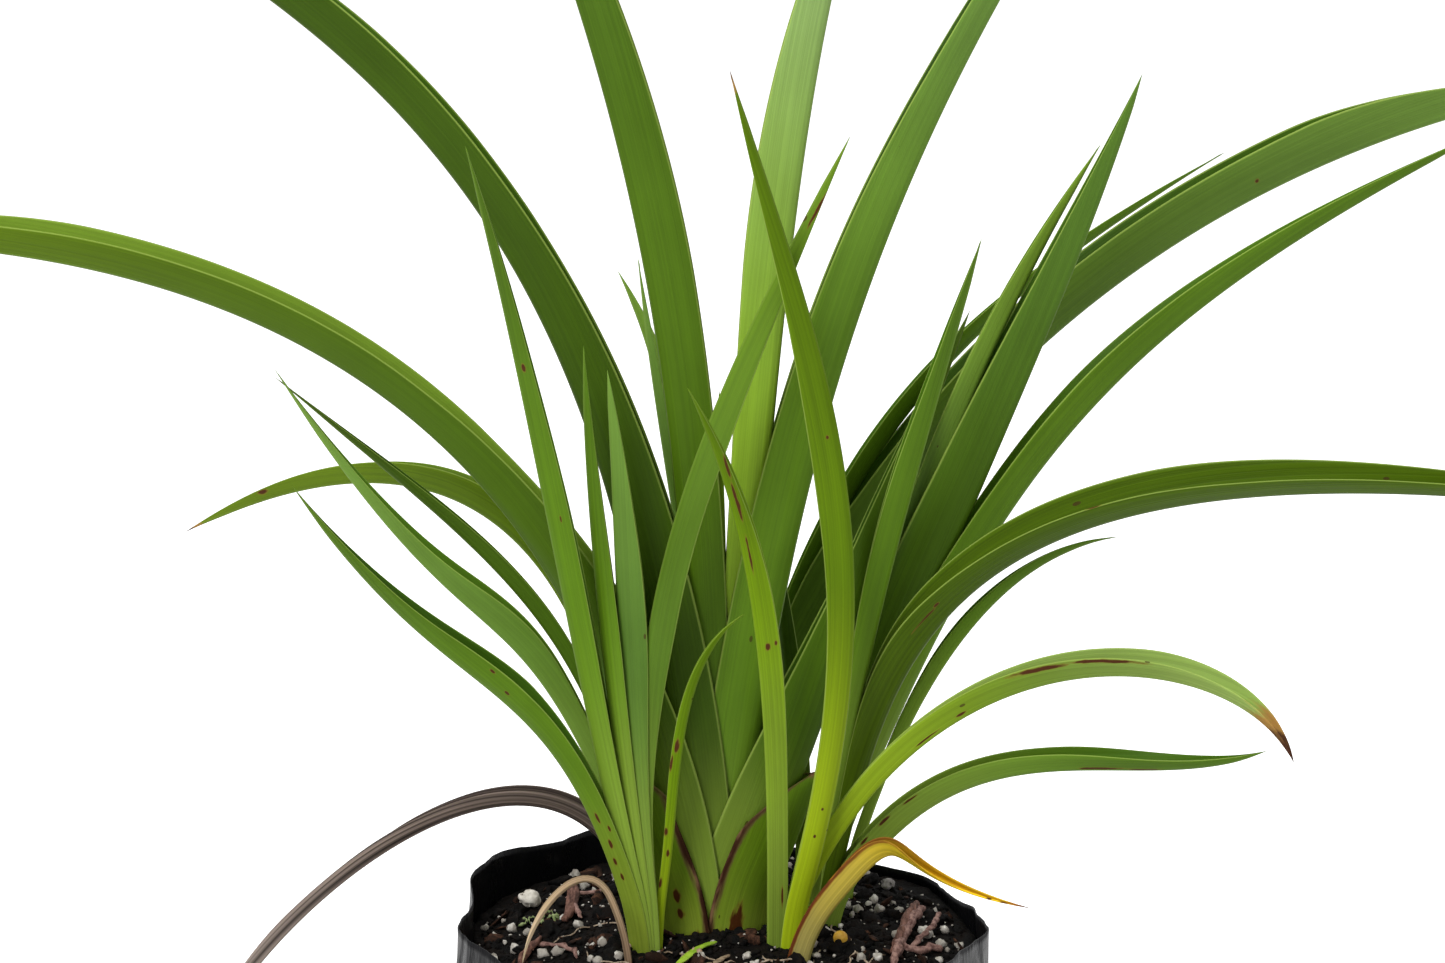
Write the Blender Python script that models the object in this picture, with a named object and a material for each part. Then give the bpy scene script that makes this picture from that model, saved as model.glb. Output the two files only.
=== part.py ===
"""Potted emerald green New Zealand flax: a black planter bag of potting mix, with a
clump of leaf fans standing in it. Metres, Z up, origin at the middle of the bag's base.
The plant is seen in the photo from the -Y side, with +X to the right."""
import math
import random
from collections import namedtuple

import bmesh
import bpy
from mathutils import Vector, noise
from mathutils.bvhtree import BVHTree
from mathutils.geometry import convex_hull_2d

MM = 0.001

# Driving dimensions of the bag and its filling
BAG_RADIUS = 81 * MM         # half the opening of the filled bag
BASE_RADIUS = 66 * MM        # half the flat base
BAG_SQUARENESS = 2.25        # 2 is a circle, more is squarer
RIM_HEIGHT = 160 * MM        # mean height of the wavy rim
RIM_TILT = 6 * MM            # the rim stands higher at the front left
RIM_SAG = 3.5 * MM           # and sags at two opposite corners
FILM = 1.2 * MM              # wall, thicker than real film
CREASE = 1.6 * MM            # depth of the film's upright creases
DRAIN_RADIUS = 4 * MM
DRAIN_HEIGHT = 12 * MM
SOIL_TOP = 157 * MM          # at the middle
SOIL_FALL = 9 * MM           # how much lower the mix lies at the wall
SOIL_GRAIN = 1.3 * MM        # relief of the mix
GAP = 0.3 * MM               # between pieces that touch
WALL_GAP = 0.5 * MM          # between the film and the mix
AROUND = 56                  # sides of the bag and of the mix

# Driving dimensions of the leaves
CROWN_TOP = 148 * MM         # the sheaths stand here, below the mix's surface
CROWN_BOTTOM = 132 * MM
THROAT = 26 * MM             # height of the upright sheath
FIRST_KEEL = 0.5 * MM        # added to the innermost keel's distance from the fan's centre
FIRST_HALF_GAP = 0.6 * MM    # half the space between a leaf's two flanks
HALF_GAP_STEP = 1.1 * MM
CLEARANCE = 1.6 * MM         # from a sheath's margin to the keel it clasps
TURN_IN = 0.3                # how much the fold still faces the fan's centre at the throat
TURN_OUT = 0.7
TURNED_BY = 0.12             # part of the blade by which the fold follows the keel line
LEAF_THICKNESS = 0.8 * MM
MARGIN_THICKNESS = 0.6 * MM
TIP_FLANK = 1.6 * MM
TIP_CLOSING = 0.6            # share of the opening that is left at the tip
TAPER_POWER = 1.6            # 1 is a straight taper
BLADE_HALF_GAP = 0.55 * MM   # where the blade has left the sheaths
DRIFT = 2.8                  # power by which a blade leaves its fan's plane
SEGMENT = 23 * MM            # length of blade between two cross-sections
SHEATH_STEPS = 2             # cross-sections of the sheath below its throat
FINE_STEPS = 6               # steps of the keel line between two cross-sections
FOOT_POINTS = 40             # points of a leaf's lowest four cross-sections

# Fans: foot on the mix (x, y in mm) and how far each older keel stands out (mm)
FANS = {
    "main": (-4, 2, 2.1),
    "left_front": (-20.5, -15, 1.15),
    "left_back": (-22, 18, 1.35),
    "right_front": (17.5, -15, 3.0),
    "right_back": (27, 18, 1.35),
    "low_right": (19.5, -9.5, 2.4),
    "far_right": (31, 3, 1.35),
    "back": (2, 35, 1.35),
    "little_back": (-10, 47, 1.35),
    "little_left": (-27, 33, 1.35),
    "little_right": (39, 29, 1.35),
    "yellow": (22, -26, 3.0),
    "dead": (-27, -27, 1.35),
}

GREEN = (0.10, 0.26, 0.035)
DARK = (0.045, 0.15, 0.03)
WAXY = (0.12, 0.28, 0.10)
LIME = (0.26, 0.42, 0.04)
YELLOW = (0.62, 0.42, 0.03)
GREY = (0.16, 0.13, 0.11)
TAN = (0.42, 0.30, 0.18)

# Leaves: name, fan, side the keel stands on (-1 left, 1 right), place in the fan counted
# from its heart, tip x y z in mm, lean where the blade leaves the sheath and how far it
# keeps that lean, droop at the tip (90 is level) and how far back it reaches, widest
# flank of the sheath and flank width of the blade in mm, height above the sheath where the
# V opens, its opening in degrees, length of the taper, colour
Leaf = namedtuple(
    "Leaf",
    "name fan side order tip lean rise droop sweep clasp width opens opening taper colour")
LEAVES = [
    ("heart_leaf", "main", -1, 0, (-1, 3, 326), 1, 0.35, 2, 0.35, 20, 6, 200, 0, 0.6, LIME),
    ("centre_leaf", "main", 1, 1, (48, 12, 505), 6, 0.45, 18, 0.3, 20, 16, 220, 20, 0.5, GREEN),
    ("upright_left_leaf", "main", -1, 2, (-87, 24, 560), 1, 0.48, 22, 0.33, 20, 15, 220, 24, 0.6, DARK),
    ("upright_right_leaf", "main", 1, 3, (127, 8, 518), 6, 0.46, 34, 0.32, 20, 13, 160, 26, 0.6, WAXY),
    ("back_left_arch", "main", -1, 4, (-247, 72, 498), -4, 0.55, 66, 0.37, 20, 13.5, 100, 28, 0.4, DARK),
    ("dark_right_leaf", "main", 1, 5, (75, 22, 346), 20, 0.35, 22, 0.3, 20, 11, 40, 20, 0.6, DARK),
    ("far_left_arch", "main", -1, 6, (-294, -34, 377), -9, 0.5, 91, 0.35, 20, 12, 55, 30, 0.3, DARK),
    ("right_sheath", "main", 1, 7, (31, 2, 206), 24, 0.3, 24, 0.3, 18.5, 18, 200, 0, 0.8, LIME),
    ("left_sheath", "main", -1, 8, (-38, 2, 214), -22, 0.3, -6, 0.3, 20, 18, 200, 0, 0.5, LIME),
    ("small_inner_leaf", "left_front", 1, 0, (7, -27, 265), 8, 0.35, 50, 0.3, 20, 4, 30, 14, 0.7, LIME),
    ("crossing_leaf", "left_front", -1, 1, (37, -17, 406), -5, 0.36, 28, 0.42, 20, 8, 35, 22, 0.4, WAXY),
    ("narrow_left_leaf", "left_front", -1, 4, (-72, -48, 408), -12, 0.35, 11, 0.3, 5.5, 8, 80, 22, 0.7, GREEN),
    ("low_left_leaf", "left_front", -1, 5, (-122, -60, 313), -17, 0.45, 26, 0.54, 6, 9.5, 60, 30, 0.6, GREEN),
    ("upright_pair_front", "left_front", -1, 2, (-34, -10, 335), -5.5, 0.35, 3, 0.3, 5.5, 9.5, 45, 18, 0.6, WAXY),
    ("upright_pair_back", "left_front", -1, 3, (-41, -9, 342), -7, 0.35, 0, 0.3, 5, 6, 60, 20, 0.6, GREEN),
    ("thin_left_leaf", "left_back", -1, 0, (-137, 27, 324), -13, 0.42, 50, 0.5, 20, 6, 95, 30, 0.6, DARK),
    ("glaucous_left_leaf", "left_back", -1, 1, (-135, 10, 331), -20.6, 0.55, 30, 0.66, 20, 11, 55, 30, 0.7, WAXY),
    ("grey_dead_leaf", "left_back", -1, 2, (-160, -30, 122), -36, 0.39, 158, 0.2, 6, 4, 30, 36, 0.3, GREY),
    ("drooping_left_leaf", "little_left", -1, 0, (-174, 78, 260), -6, 0.7, 122, 0.5, 20, 9, 30, 30, 0.5, LIME),
    ("yellow_green_leaf", "right_front", -1, 0, (-10, -54, 340), 0, 0.4, 21, 0.3, 6, 8, 60, 26, 0.7, LIME),
    ("lime_front_leaf", "right_front", 1, 1, (2, -38, 428), 14, 0.45, 17, 0.35, 6.5, 10, 110, 26, 0.6, LIME),
    ("brown_tipped_leaf", "low_right", 1, 0, (166, -55, 228), 25, 0.62, 156, 0.15, 6, 8, 20, 30, 0.4, LIME),
    ("light_right_leaf", "right_back", 1, 0, (113, 20, 397), 12, 0.35, 30, 0.3, 20, 9, 150, 14, 0.6, GREEN),
    ("hidden_back_leaf", "right_back", -1, 1, (14, 24, 286), -2, 0.35, 4, 0.3, 20, 7, 60, 14, 0.7, DARK),
    ("large_pointed_leaf", "right_back", 1, 2, (124, 14, 419), 18, 0.4, 15, 0.3, 20, 18, 30, 18, 0.7, DARK),
    ("right_arch", "right_back", 1, 3, (238, 64, 394), 20, 0.47, 66, 0.42, 20, 10.5, 30, 28, 0.5, GREEN),
    ("pointed_leaf", "far_right", 1, 0, (74, -34, 379), 6, 0.34, 10, 0.3, 20, 10, 90, 28, 0.7, GREEN),
    ("striped_right_arch", "far_right", 1, 1, (296, -84, 305), 12, 0.26, 95, 0.75, 20, 11.5, 60, 34, 0.35, LIME),
    ("lowest_right_leaf", "far_right", 1, 2, (164, -18, 219), 36, 0.48, 56, 0.33, 20, 7, 10, 34, 0.5, GREEN),
    ("thin_back_leaf", "back", -1, 0, (-26, 42, 358), -6, 0.35, 6, 0.3, 20, 5, 40, 18, 0.6, WAXY),
    ("small_back_leaf", "back", 1, 1, (164, 120, 377), 8, 0.46, 69, 0.35, 20, 6, 15, 28, 0.6, GREEN),
    ("far_right_arch", "back", 1, 2, (274, 100, 402), 13, 0.35, 84, 0.42, 20, 15.5, 35, 28, 0.22, DARK),
    ("little_back_leaf", "little_back", -1, 0, (-33, 62, 350), -3, 0.4, 28, 0.3, 20, 8, 20, 20, 0.5, GREEN),
    ("low_back_leaf", "little_right", 1, 0, (126, 62, 263), 17, 0.4, 95, 0.34, 20, 5, 15, 28, 0.6, GREEN),
    ("yellow_leaf", "yellow", 1, 0, (91, -58, 184), 38, 0.57, 87, 0.71, 6.5, 5, 15, 26, 0.6, YELLOW),
    ("tan_dead_leaf", "dead", -1, 0, (-60, -40, 158.5), -22, 0.55, 168, 0.4, 1.8, 1.4, 10, 16, 0.4, TAN),
]


def smooth(low, high, value):
    """0 below low, 1 above high, and a soft step between."""
    part = min(1.0, max(0.0, (value - low) / (high - low)))
    return part * part * (3 - 2 * part)


def mix(first, second, part):
    return first + (second - first) * part


def new_material(name, colour, roughness):
    material = bpy.data.materials.new(name)
    material.use_nodes = True
    shader = material.node_tree.nodes["Principled BSDF"]
    shader.inputs["Base Color"].default_value = (*colour, 1)
    shader.inputs["Roughness"].default_value = roughness
    shader.inputs["Metallic"].default_value = 0
    return material


def new_object(name, points, faces, colour, roughness):
    mesh = bpy.data.meshes.new(name)
    mesh.from_pydata([tuple(p) for p in points], [], faces)
    grid = bmesh.new()
    grid.from_mesh(mesh)
    bmesh.ops.recalc_face_normals(grid, faces=grid.faces)
    grid.to_mesh(mesh)
    grid.free()
    mesh.materials.append(new_material(name, colour, roughness))
    mesh.shade_smooth()
    mesh.set_sharp_from_angle(angle=math.radians(35))
    piece = bpy.data.objects.new(name, mesh)
    bpy.context.scene.collection.objects.link(piece)
    return piece


def cut_away(piece, cutter):
    """Cuts the piece with one object and removes the cutter."""
    modifier = piece.modifiers.new("cut", "BOOLEAN")
    modifier.object = cutter
    modifier.operation = "DIFFERENCE"
    modifier.solver = "EXACT"
    graph = bpy.context.evaluated_depsgraph_get()
    result = bpy.data.meshes.new_from_object(piece.evaluated_get(graph))
    piece.modifiers.clear()
    piece.data = result
    result.name = piece.name
    bpy.data.objects.remove(cutter)


# Bag and potting mix

def rim_height(angle):
    tilt = -RIM_TILT * math.cos(angle - math.radians(60))
    sag = RIM_SAG * math.cos(2 * angle - math.radians(270))
    return RIM_HEIGHT + tilt + sag + 0.9 * MM * math.sin(7 * angle + 1)


def bag_point(angle, part, inset):
    """A point of the bag's wall at a part of its height, set in along the wall's normal."""
    def outline(at):
        round_square = (abs(math.cos(at)) ** BAG_SQUARENESS + abs(math.sin(at)) ** BAG_SQUARENESS)
        radius = mix(BASE_RADIUS, BAG_RADIUS, smooth(-0.6, 0.75, part))
        crease = math.sin(9 * at + 2.2 * part) + 0.6 * math.sin(14 * at - 3 * part + 1)
        radius *= round_square ** (-1 / BAG_SQUARENESS)
        radius += CREASE * crease * (0.25 + 0.75 * part)
        return Vector((math.cos(at) * radius, math.sin(at) * radius))
    along = (outline(angle + 0.01) - outline(angle - 0.01)).normalized()
    inward = Vector((-along.y, along.x))
    return outline(angle) + inward * inset


def soil_height(x, y):
    """Dome of the mix with a rough relief."""
    out = min(1.0, math.hypot(x, y) / BAG_RADIUS)
    place = Vector((x, y, 0)) / (9 * MM)
    rough = noise.noise(place) + 0.6 * noise.noise(place * 2.3)
    return SOIL_TOP - SOIL_FALL * out * out + SOIL_GRAIN * rough


LEVELS = (0.0, 0.05, 0.2, 0.4, 0.6, 0.85, 1.0)


def wall_point(angle, part, inset):
    """A point of the wall between two of its levels, on the straight line that joins them."""
    for low, high in zip(LEVELS, LEVELS[1:]):
        if part <= high:
            break
    share = (part - low) / (high - low)
    flat = bag_point(angle, low, inset).lerp(bag_point(angle, high, inset), share)
    return Vector((flat.x, flat.y, mix(inset, rim_height(angle), part)))


def make_bag():
    points, faces = [], []
    outside, inside = [], []
    for inset, rings in ((0.0, outside), (FILM, inside)):
        for part in LEVELS:
            ring = []
            for step in range(AROUND):
                ring.append(len(points))
                points.append(wall_point(2 * math.pi * step / AROUND, part, inset))
            rings.append(ring)
    for rings, turned in ((outside, False), (inside, True)):
        for low, high in zip(rings, rings[1:]):
            faces += ring_faces(low, high, turned)
    faces += ring_faces(outside[-1], inside[-1], False)
    faces.append(outside[0][::-1])
    faces.append(inside[0])
    bag = new_object("planter_bag", points, faces, (0.012, 0.012, 0.013), 0.35)
    for step in range(8):
        angle = 2 * math.pi * (step + 0.5) / 8
        middle = wall_point(angle, DRAIN_HEIGHT / RIM_HEIGHT, FILM / 2)
        bpy.ops.mesh.primitive_cylinder_add(vertices=8, radius=DRAIN_RADIUS, depth=12 * FILM)
        punch = bpy.context.object
        punch.location = (middle.x, middle.y, DRAIN_HEIGHT)
        punch.rotation_euler = (0, math.pi / 2, angle)
        cut_away(bag, punch)
    return bag


def ring_faces(low, high, turned):
    """Triangles between two rings of point numbers, with the same diagonals either way round."""
    faces = []
    count = len(low)
    for step in range(count):
        after = (step + 1) % count
        for corners in ((low[step], low[after], high[after]), (low[step], high[after], high[step])):
            faces.append(corners[::-1] if turned else corners)
    return faces


def make_mix():
    inset = FILM + WALL_GAP
    points, faces, rings = [], [], []
    for level in LEVELS:
        ring = []
        for step in range(AROUND):
            angle = 2 * math.pi * step / AROUND
            top = wall_point(angle, 1.0, inset)
            part = level
            if level == 1.0:
                part = (soil_height(top.x, top.y) - inset) / (rim_height(angle) - inset)
            ring.append(len(points))
            points.append(wall_point(angle, part, inset))
        rings.append(ring)
    rim = [points[number] for number in rings[-1]]
    for share in (0.9, 0.78, 0.65, 0.52, 0.39, 0.26, 0.13):
        ring = []
        for x, y, _ in rim:
            ring.append(len(points))
            points.append((x * share, y * share, soil_height(x * share, y * share)))
        rings.append(ring)
    for low, high in zip(rings, rings[1:]):
        faces += ring_faces(low, high, False)
    faces.append(rings[0][::-1])
    middle = len(points)
    points.append((0, 0, soil_height(0, 0)))
    for step in range(AROUND):
        faces.append([rings[-1][step], rings[-1][(step + 1) % AROUND], middle])
    return new_object("potting_mix", points, faces, (0.018, 0.014, 0.012), 0.95)


# Leaves

def keel_offset(fan, order):
    return FIRST_KEEL + FANS[fan][2] * MM * (order + 1)


def half_gap(order):
    return FIRST_HALF_GAP + HALF_GAP_STEP * order


def bezier(points, t):
    a, b, c, d = points
    s = 1 - t
    return a * s**3 + b * 3 * s * s * t + c * 3 * s * t * t + d * t**3


def leaf_rail(leaf):
    """The keel line of a leaf: the three handles of its sheath, the four of its blade, and
    the distance from its throat to its tip."""
    foot_x, foot_y, _ = FANS[leaf.fan]
    foot_x = foot_x * MM + leaf.side * keel_offset(leaf.fan, leaf.order)
    foot = Vector((foot_x, foot_y * MM, CROWN_TOP + GAP))
    tip = Vector(leaf.tip) * MM
    slope = math.tan(math.radians(leaf.lean))
    throat = foot + Vector((slope * THROAT / 2, 0, THROAT))
    lean_way = Vector((slope, 0, 1)).normalized()
    level = Vector((math.copysign(1, tip.x - throat.x), 0, 0))
    angle = math.radians(leaf.droop)
    tip_way = level * math.sin(angle) + Vector((0, 0, math.cos(angle)))
    reach = (tip - throat).length
    sheath = (foot, foot + Vector((0, 0, THROAT / 2)), throat)
    blade = (throat, throat + lean_way * reach * leaf.rise, tip - tip_way * reach * leaf.sweep, tip)
    return sheath, blade, reach


def keel_places(leaf, blade_steps):
    """Places along the keel, each with its part of the sheath and its part of the blade."""
    (foot, bend, throat), blade, _ = leaf_rail(leaf)
    places = []
    for step in range(SHEATH_STEPS):
        t = step / SHEATH_STEPS
        place = foot * (1 - t)**2 + bend * 2 * t * (1 - t) + throat * t * t
        places.append((place, t, 0.0))
    for step in range(blade_steps * FINE_STEPS + 1):
        t = step / (blade_steps * FINE_STEPS)
        place = bezier(blade, t)
        place.y = mix(foot.y, leaf.tip[1] * MM, t ** DRIFT)
        places.append((place, 1.0, t))
    return places


def clasp_flank(leaf):
    """Flank width low down, where a sheath may only reach as far as its neighbours allow."""
    reach_in = keel_offset(leaf.fan, leaf.order) + keel_offset(leaf.fan, leaf.order + 1)
    return min(leaf.clasp * MM, reach_in - 0.5 * half_gap(leaf.order) - CLEARANCE)


def blade_shape(leaf, reach, blade):
    """Flank width, half gap and opening of the fold at a part of the blade."""
    above = blade * reach
    opens = leaf.opens * MM
    opened = smooth(opens - 10 * MM, opens + 60 * MM, above)
    flank = mix(clasp_flank(leaf), leaf.width * MM, smooth(5 * MM, opens + 60 * MM, above))
    start = 1 - leaf.taper
    if blade > start:
        flank *= 1 - ((blade - start) / leaf.taper) ** TAPER_POWER
    flank = max(flank, TIP_FLANK)
    gap = mix(half_gap(leaf.order), BLADE_HALF_GAP, opened)
    gap = max(BLADE_HALF_GAP, min(gap, 2 * (flank - 2 * TIP_FLANK)))
    spread = leaf.opening * smooth(opens - 10 * MM, opens + 90 * MM, above)
    spread = mix(spread, TIP_CLOSING * leaf.opening, smooth(0.7, 1.0, blade))
    return flank, gap, math.radians(spread)


def leaf_sections(leaf, blade_steps):
    """Cross-sections from the crown to the tip: place, way the fold opens, way across,
    flank width, half gap, opening."""
    inward = Vector((-leaf.side, 0, 0))
    reach = leaf_rail(leaf)[2]
    places = keel_places(leaf, blade_steps)
    sections = []
    normal = inward.copy()
    for number, (place, sheath, blade) in enumerate(places):
        before = places[max(0, number - 1)][0]
        after = places[min(len(places) - 1, number + 1)][0]
        way = (after - before).normalized()
        normal = (normal - way * normal.dot(way)).normalized()
        if sheath == 1.0 and (number - SHEATH_STEPS) % FINE_STEPS:
            continue
        if sheath < 1:
            facing = (inward * mix(1, TURN_IN, sheath) + normal * TURN_OUT * sheath).normalized()
        else:
            facing = (inward * TURN_IN * max(0, 1 - blade / TURNED_BY) + normal).normalized()
        across = way.cross(facing).normalized()
        sections.append((place, facing, across, *blade_shape(leaf, reach, blade)))
    return sections


def section_points(section):
    """Outer and inner points of a folded cross-section, from margin to margin."""
    place, facing, across, flank, gap, spread = section
    outer, inner = [], []
    for hand in (-1, 1):
        flat = facing * math.cos(spread) + across * hand * math.sin(spread)
        out = across * hand * math.cos(spread) - facing * math.sin(spread)
        shoulder = place + facing * gap * 0.5 + across * hand * gap
        margin = shoulder + flat * (flank - gap * 0.5)
        thin = MARGIN_THICKNESS / 2
        half = min(LEAF_THICKNESS / 2, gap * 0.6)
        if hand < 0:
            outer = [margin + out * thin, shoulder + out * half, place - facing * half]
            inner = [margin - out * thin, shoulder - out * half, place + facing * 1.3 * half]
        else:
            outer += [shoulder + out * half, margin + out * thin]
            inner += [shoulder - out * half, margin - out * thin]
    return outer, inner


def make_leaf(leaf):
    blade_steps = max(7, min(18, round(leaf_rail(leaf)[2] / SEGMENT)))
    sections = leaf_sections(leaf, blade_steps)
    points, faces = [], []
    for section in sections:
        outer, inner = section_points(section)
        points += outer + inner
    for ring in range(len(sections) - 1):
        low, high = ring * 10, ring * 10 + 10
        for strip in range(4):
            # the same diagonal on both faces keeps them apart where the blade turns
            a, b = low + strip, low + strip + 1
            c, d = high + strip, high + strip + 1
            faces += [(a, b, d), (a, d, c)]
            faces += [(a + 5, d + 5, b + 5), (a + 5, c + 5, d + 5)]
        for outer, inner, turned in ((0, 5, True), (4, 9, False)):
            quad = [low + outer, low + inner, high + inner, high + outer]
            faces.append(tuple(quad[::-1] if turned else quad))
    last = (len(sections) - 1) * 10
    for strip in range(4):
        foot_quad = (strip, strip + 5, strip + 6, strip + 1)
        tip_quad = tuple(last + number for number in foot_quad)
        faces += [foot_quad, tip_quad[::-1]]
    return new_object(leaf.name, points, faces, leaf.colour, 0.5)


def fan_outline(leaves, low, high, clearance):
    """Convex outline around the leaf points between two heights."""
    flat = []
    for leaf in leaves:
        for edge in leaf.data.edges:
            if max(edge.vertices) >= FOOT_POINTS:
                continue
            a, b = (leaf.data.vertices[number].co for number in edge.vertices)
            for step in range(9):
                point = a.lerp(b, step / 8)
                if low <= point.z <= high:
                    for turn in range(8):
                        angle = math.pi * turn / 4
                        side = Vector((math.cos(angle), math.sin(angle)))
                        flat.append(point.xy + side * clearance)
    return [flat[number] for number in convex_hull_2d(flat)]


def prism(name, outline, low, high, colour):
    count = len(outline)
    points = [(p.x, p.y, low) for p in outline] + [(p.x, p.y, high) for p in outline]
    rings = list(range(count)), list(range(count, 2 * count))
    faces = ring_faces(rings[0], rings[1], False)
    faces += [rings[0][::-1], rings[1]]
    return new_object(name, points, faces, colour, 0.8)


def simplify(outline, step):
    """Keeps outline points that stand at least a step apart."""
    kept = [outline[0]]
    for point in outline[1:]:
        if (point - kept[-1]).length > step:
            kept.append(point)
    if (kept[-1] - kept[0]).length < step:
        kept.pop()
    return kept


def plant_fans(mix_piece):
    for fan in FANS:
        leaves = [make_leaf(leaf) for leaf in map(Leaf._make, LEAVES) if leaf.fan == fan]
        hole = fan_outline(leaves, CROWN_TOP - MM, SOIL_TOP + 2 * MM, 0.9 * MM)
        crown = fan_outline(leaves, CROWN_TOP - MM, CROWN_TOP + 4 * MM, 0.2 * MM)
        prism("crown_" + fan, simplify(crown, MM), CROWN_BOTTOM, CROWN_TOP, TAN)
        cutter = prism("hole_" + fan, simplify(hole, MM), CROWN_BOTTOM - GAP, SOIL_TOP + 30 * MM, TAN)
        cut_away(mix_piece, cutter)


# Loose things on the mix

BARK = (0.085, 0.035, 0.02)
STRAW = (0.38, 0.27, 0.15)

# Strips: name, points along it (x, y in mm), width, thickness, bow above the mix, colour
STRIPS = [
    ("bark_strip_left", ((-48, 42), (-47, 24), (-49, 4)), 5.0, 2.2, 1.0, BARK),
    ("bark_strip_left_small", ((-56, -6), (-62, -24)), 3.4, 1.8, 0.5, BARK),
    ("bark_strip_right", ((62, 26), (58, 8), (52, -20)), 3.6, 2.2, 1.5, BARK),
    ("bark_chip_right", ((40, -34), (52, -40)), 6.0, 2.6, 0.0, BARK),
    ("dry_leaf_strip", ((-40, -40), (-22, -44), (-4, -36), (2, -26)), 2.6, 0.9, 2.5, STRAW),
    ("green_leaf_scrap", ((-14, -33), (-2, -19)), 3.4, 0.9, 1.2, GREEN),
]

# Stones: name, place (x, y in mm), size x y z in mm, roughness of its shape, colour
STONES = [
    ("white_stone", (-61, 26), (7.6, 6.4, 5.6), 0.22, (0.72, 0.69, 0.62)),
    ("grey_stone", (53, 40), (4.6, 5.4, 3.8), 0.25, (0.34, 0.32, 0.30)),
    ("fertiliser_prill", (36, -16), (4.8, 4.8, 4.8), 0.03, (0.80, 0.47, 0.05)),
]


def settle(piece, ground):
    """Lowers a piece until it would touch the ground, and leaves the usual gap."""
    bpy.context.view_layer.update()
    below = BVHTree.FromObject(ground, bpy.context.evaluated_depsgraph_get())
    faces = [tuple(face.vertices) for face in piece.data.polygons]
    step = 0.1 * MM
    while True:
        points = [piece.matrix_world @ point.co for point in piece.data.vertices]
        if below.overlap(BVHTree.FromPolygons(points, faces)):
            break
        piece.location.z -= step
        bpy.context.view_layer.update()
    piece.location.z += GAP + step


def make_strip(name, way_points, width, thickness, bow, colour, seed):
    """A flat strip of ragged width along a smooth line over the mix."""
    draw = random.Random(seed)
    line = [Vector((x * MM, y * MM, 0)) for x, y in way_points]
    count = 3 * (len(line) - 1)
    points, faces = [], []
    for step in range(count + 1):
        t = step / count
        at = t * (len(line) - 1)
        number = min(int(at), len(line) - 2)
        place = line[number].lerp(line[number + 1], at - number)
        way = (line[number + 1] - line[number]).normalized()
        side = Vector((-way.y, way.x, 0))
        lift = soil_height(place.x, place.y) + 4 * MM + bow * MM * math.sin(math.pi * t)
        half = width * MM * (0.5 - 0.2 * abs(2 * t - 1) ** 3) * draw.uniform(0.8, 1.15)
        deep = thickness * MM * draw.uniform(0.9, 1.1)
        shift = side * width * MM * draw.uniform(-0.12, 0.12)
        centre = Vector((place.x, place.y, lift)) + shift
        up = Vector((0, 0, deep))
        points += [centre - side * half, centre - side * half * 0.7 + up,
                   centre + side * half * 0.6 + up, centre + side * half]
    for ring in range(count):
        low = list(range(ring * 4, ring * 4 + 4))
        faces += ring_faces(low, [number + 4 for number in low], False)
    faces += [(3, 2, 1, 0), tuple(count * 4 + number for number in range(4))]
    return new_object(name, points, faces, colour, 0.8)


def make_stone(name, place, size, rough, colour, seed):
    bpy.ops.mesh.primitive_ico_sphere_add(subdivisions=2, radius=1)
    ball = bpy.context.object
    points = []
    for point in ball.data.vertices:
        swell = 1 + rough * noise.noise(point.co * 1.3 + Vector((seed, 0, 0)))
        points.append([swell * part * side * MM / 2 for part, side in zip(point.co, size)])
    faces = [tuple(face.vertices) for face in ball.data.polygons]
    bpy.data.objects.remove(ball)
    stone = new_object(name, points, faces, colour, 0.6)
    stone.location = (place[0] * MM, place[1] * MM, SOIL_TOP + 8 * MM)
    return stone


def scatter_loose(ground):
    for seed, (name, line, width, thickness, bow, colour) in enumerate(STRIPS):
        settle(make_strip(name, line, width, thickness, bow, colour, seed), ground)
    for seed, (name, place, size, rough, colour) in enumerate(STONES):
        settle(make_stone(name, place, size, rough, colour, seed), ground)


for old in list(bpy.data.objects):
    bpy.data.objects.remove(old)
make_bag()
potting_mix = make_mix()
plant_fans(potting_mix)
scatter_loose(potting_mix)
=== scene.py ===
"""Looks of the potted emerald green New Zealand flax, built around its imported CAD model.
Metres, Z up, origin at the middle of the bag's base. The photographed side faces -Y."""

import math
from collections import namedtuple

import bmesh
import bpy
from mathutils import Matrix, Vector, noise


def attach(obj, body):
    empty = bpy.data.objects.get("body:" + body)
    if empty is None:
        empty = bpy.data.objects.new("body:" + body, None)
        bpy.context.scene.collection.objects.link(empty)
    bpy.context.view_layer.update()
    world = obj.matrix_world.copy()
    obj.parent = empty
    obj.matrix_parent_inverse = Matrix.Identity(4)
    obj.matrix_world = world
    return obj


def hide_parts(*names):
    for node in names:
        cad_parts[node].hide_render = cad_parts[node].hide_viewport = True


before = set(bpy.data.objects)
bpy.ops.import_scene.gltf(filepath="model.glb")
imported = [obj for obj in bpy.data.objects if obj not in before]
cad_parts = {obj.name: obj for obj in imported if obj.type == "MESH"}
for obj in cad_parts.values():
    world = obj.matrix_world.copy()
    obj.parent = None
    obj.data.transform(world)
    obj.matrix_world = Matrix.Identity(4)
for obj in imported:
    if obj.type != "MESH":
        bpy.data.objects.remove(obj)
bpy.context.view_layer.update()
MM = 0.001


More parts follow.
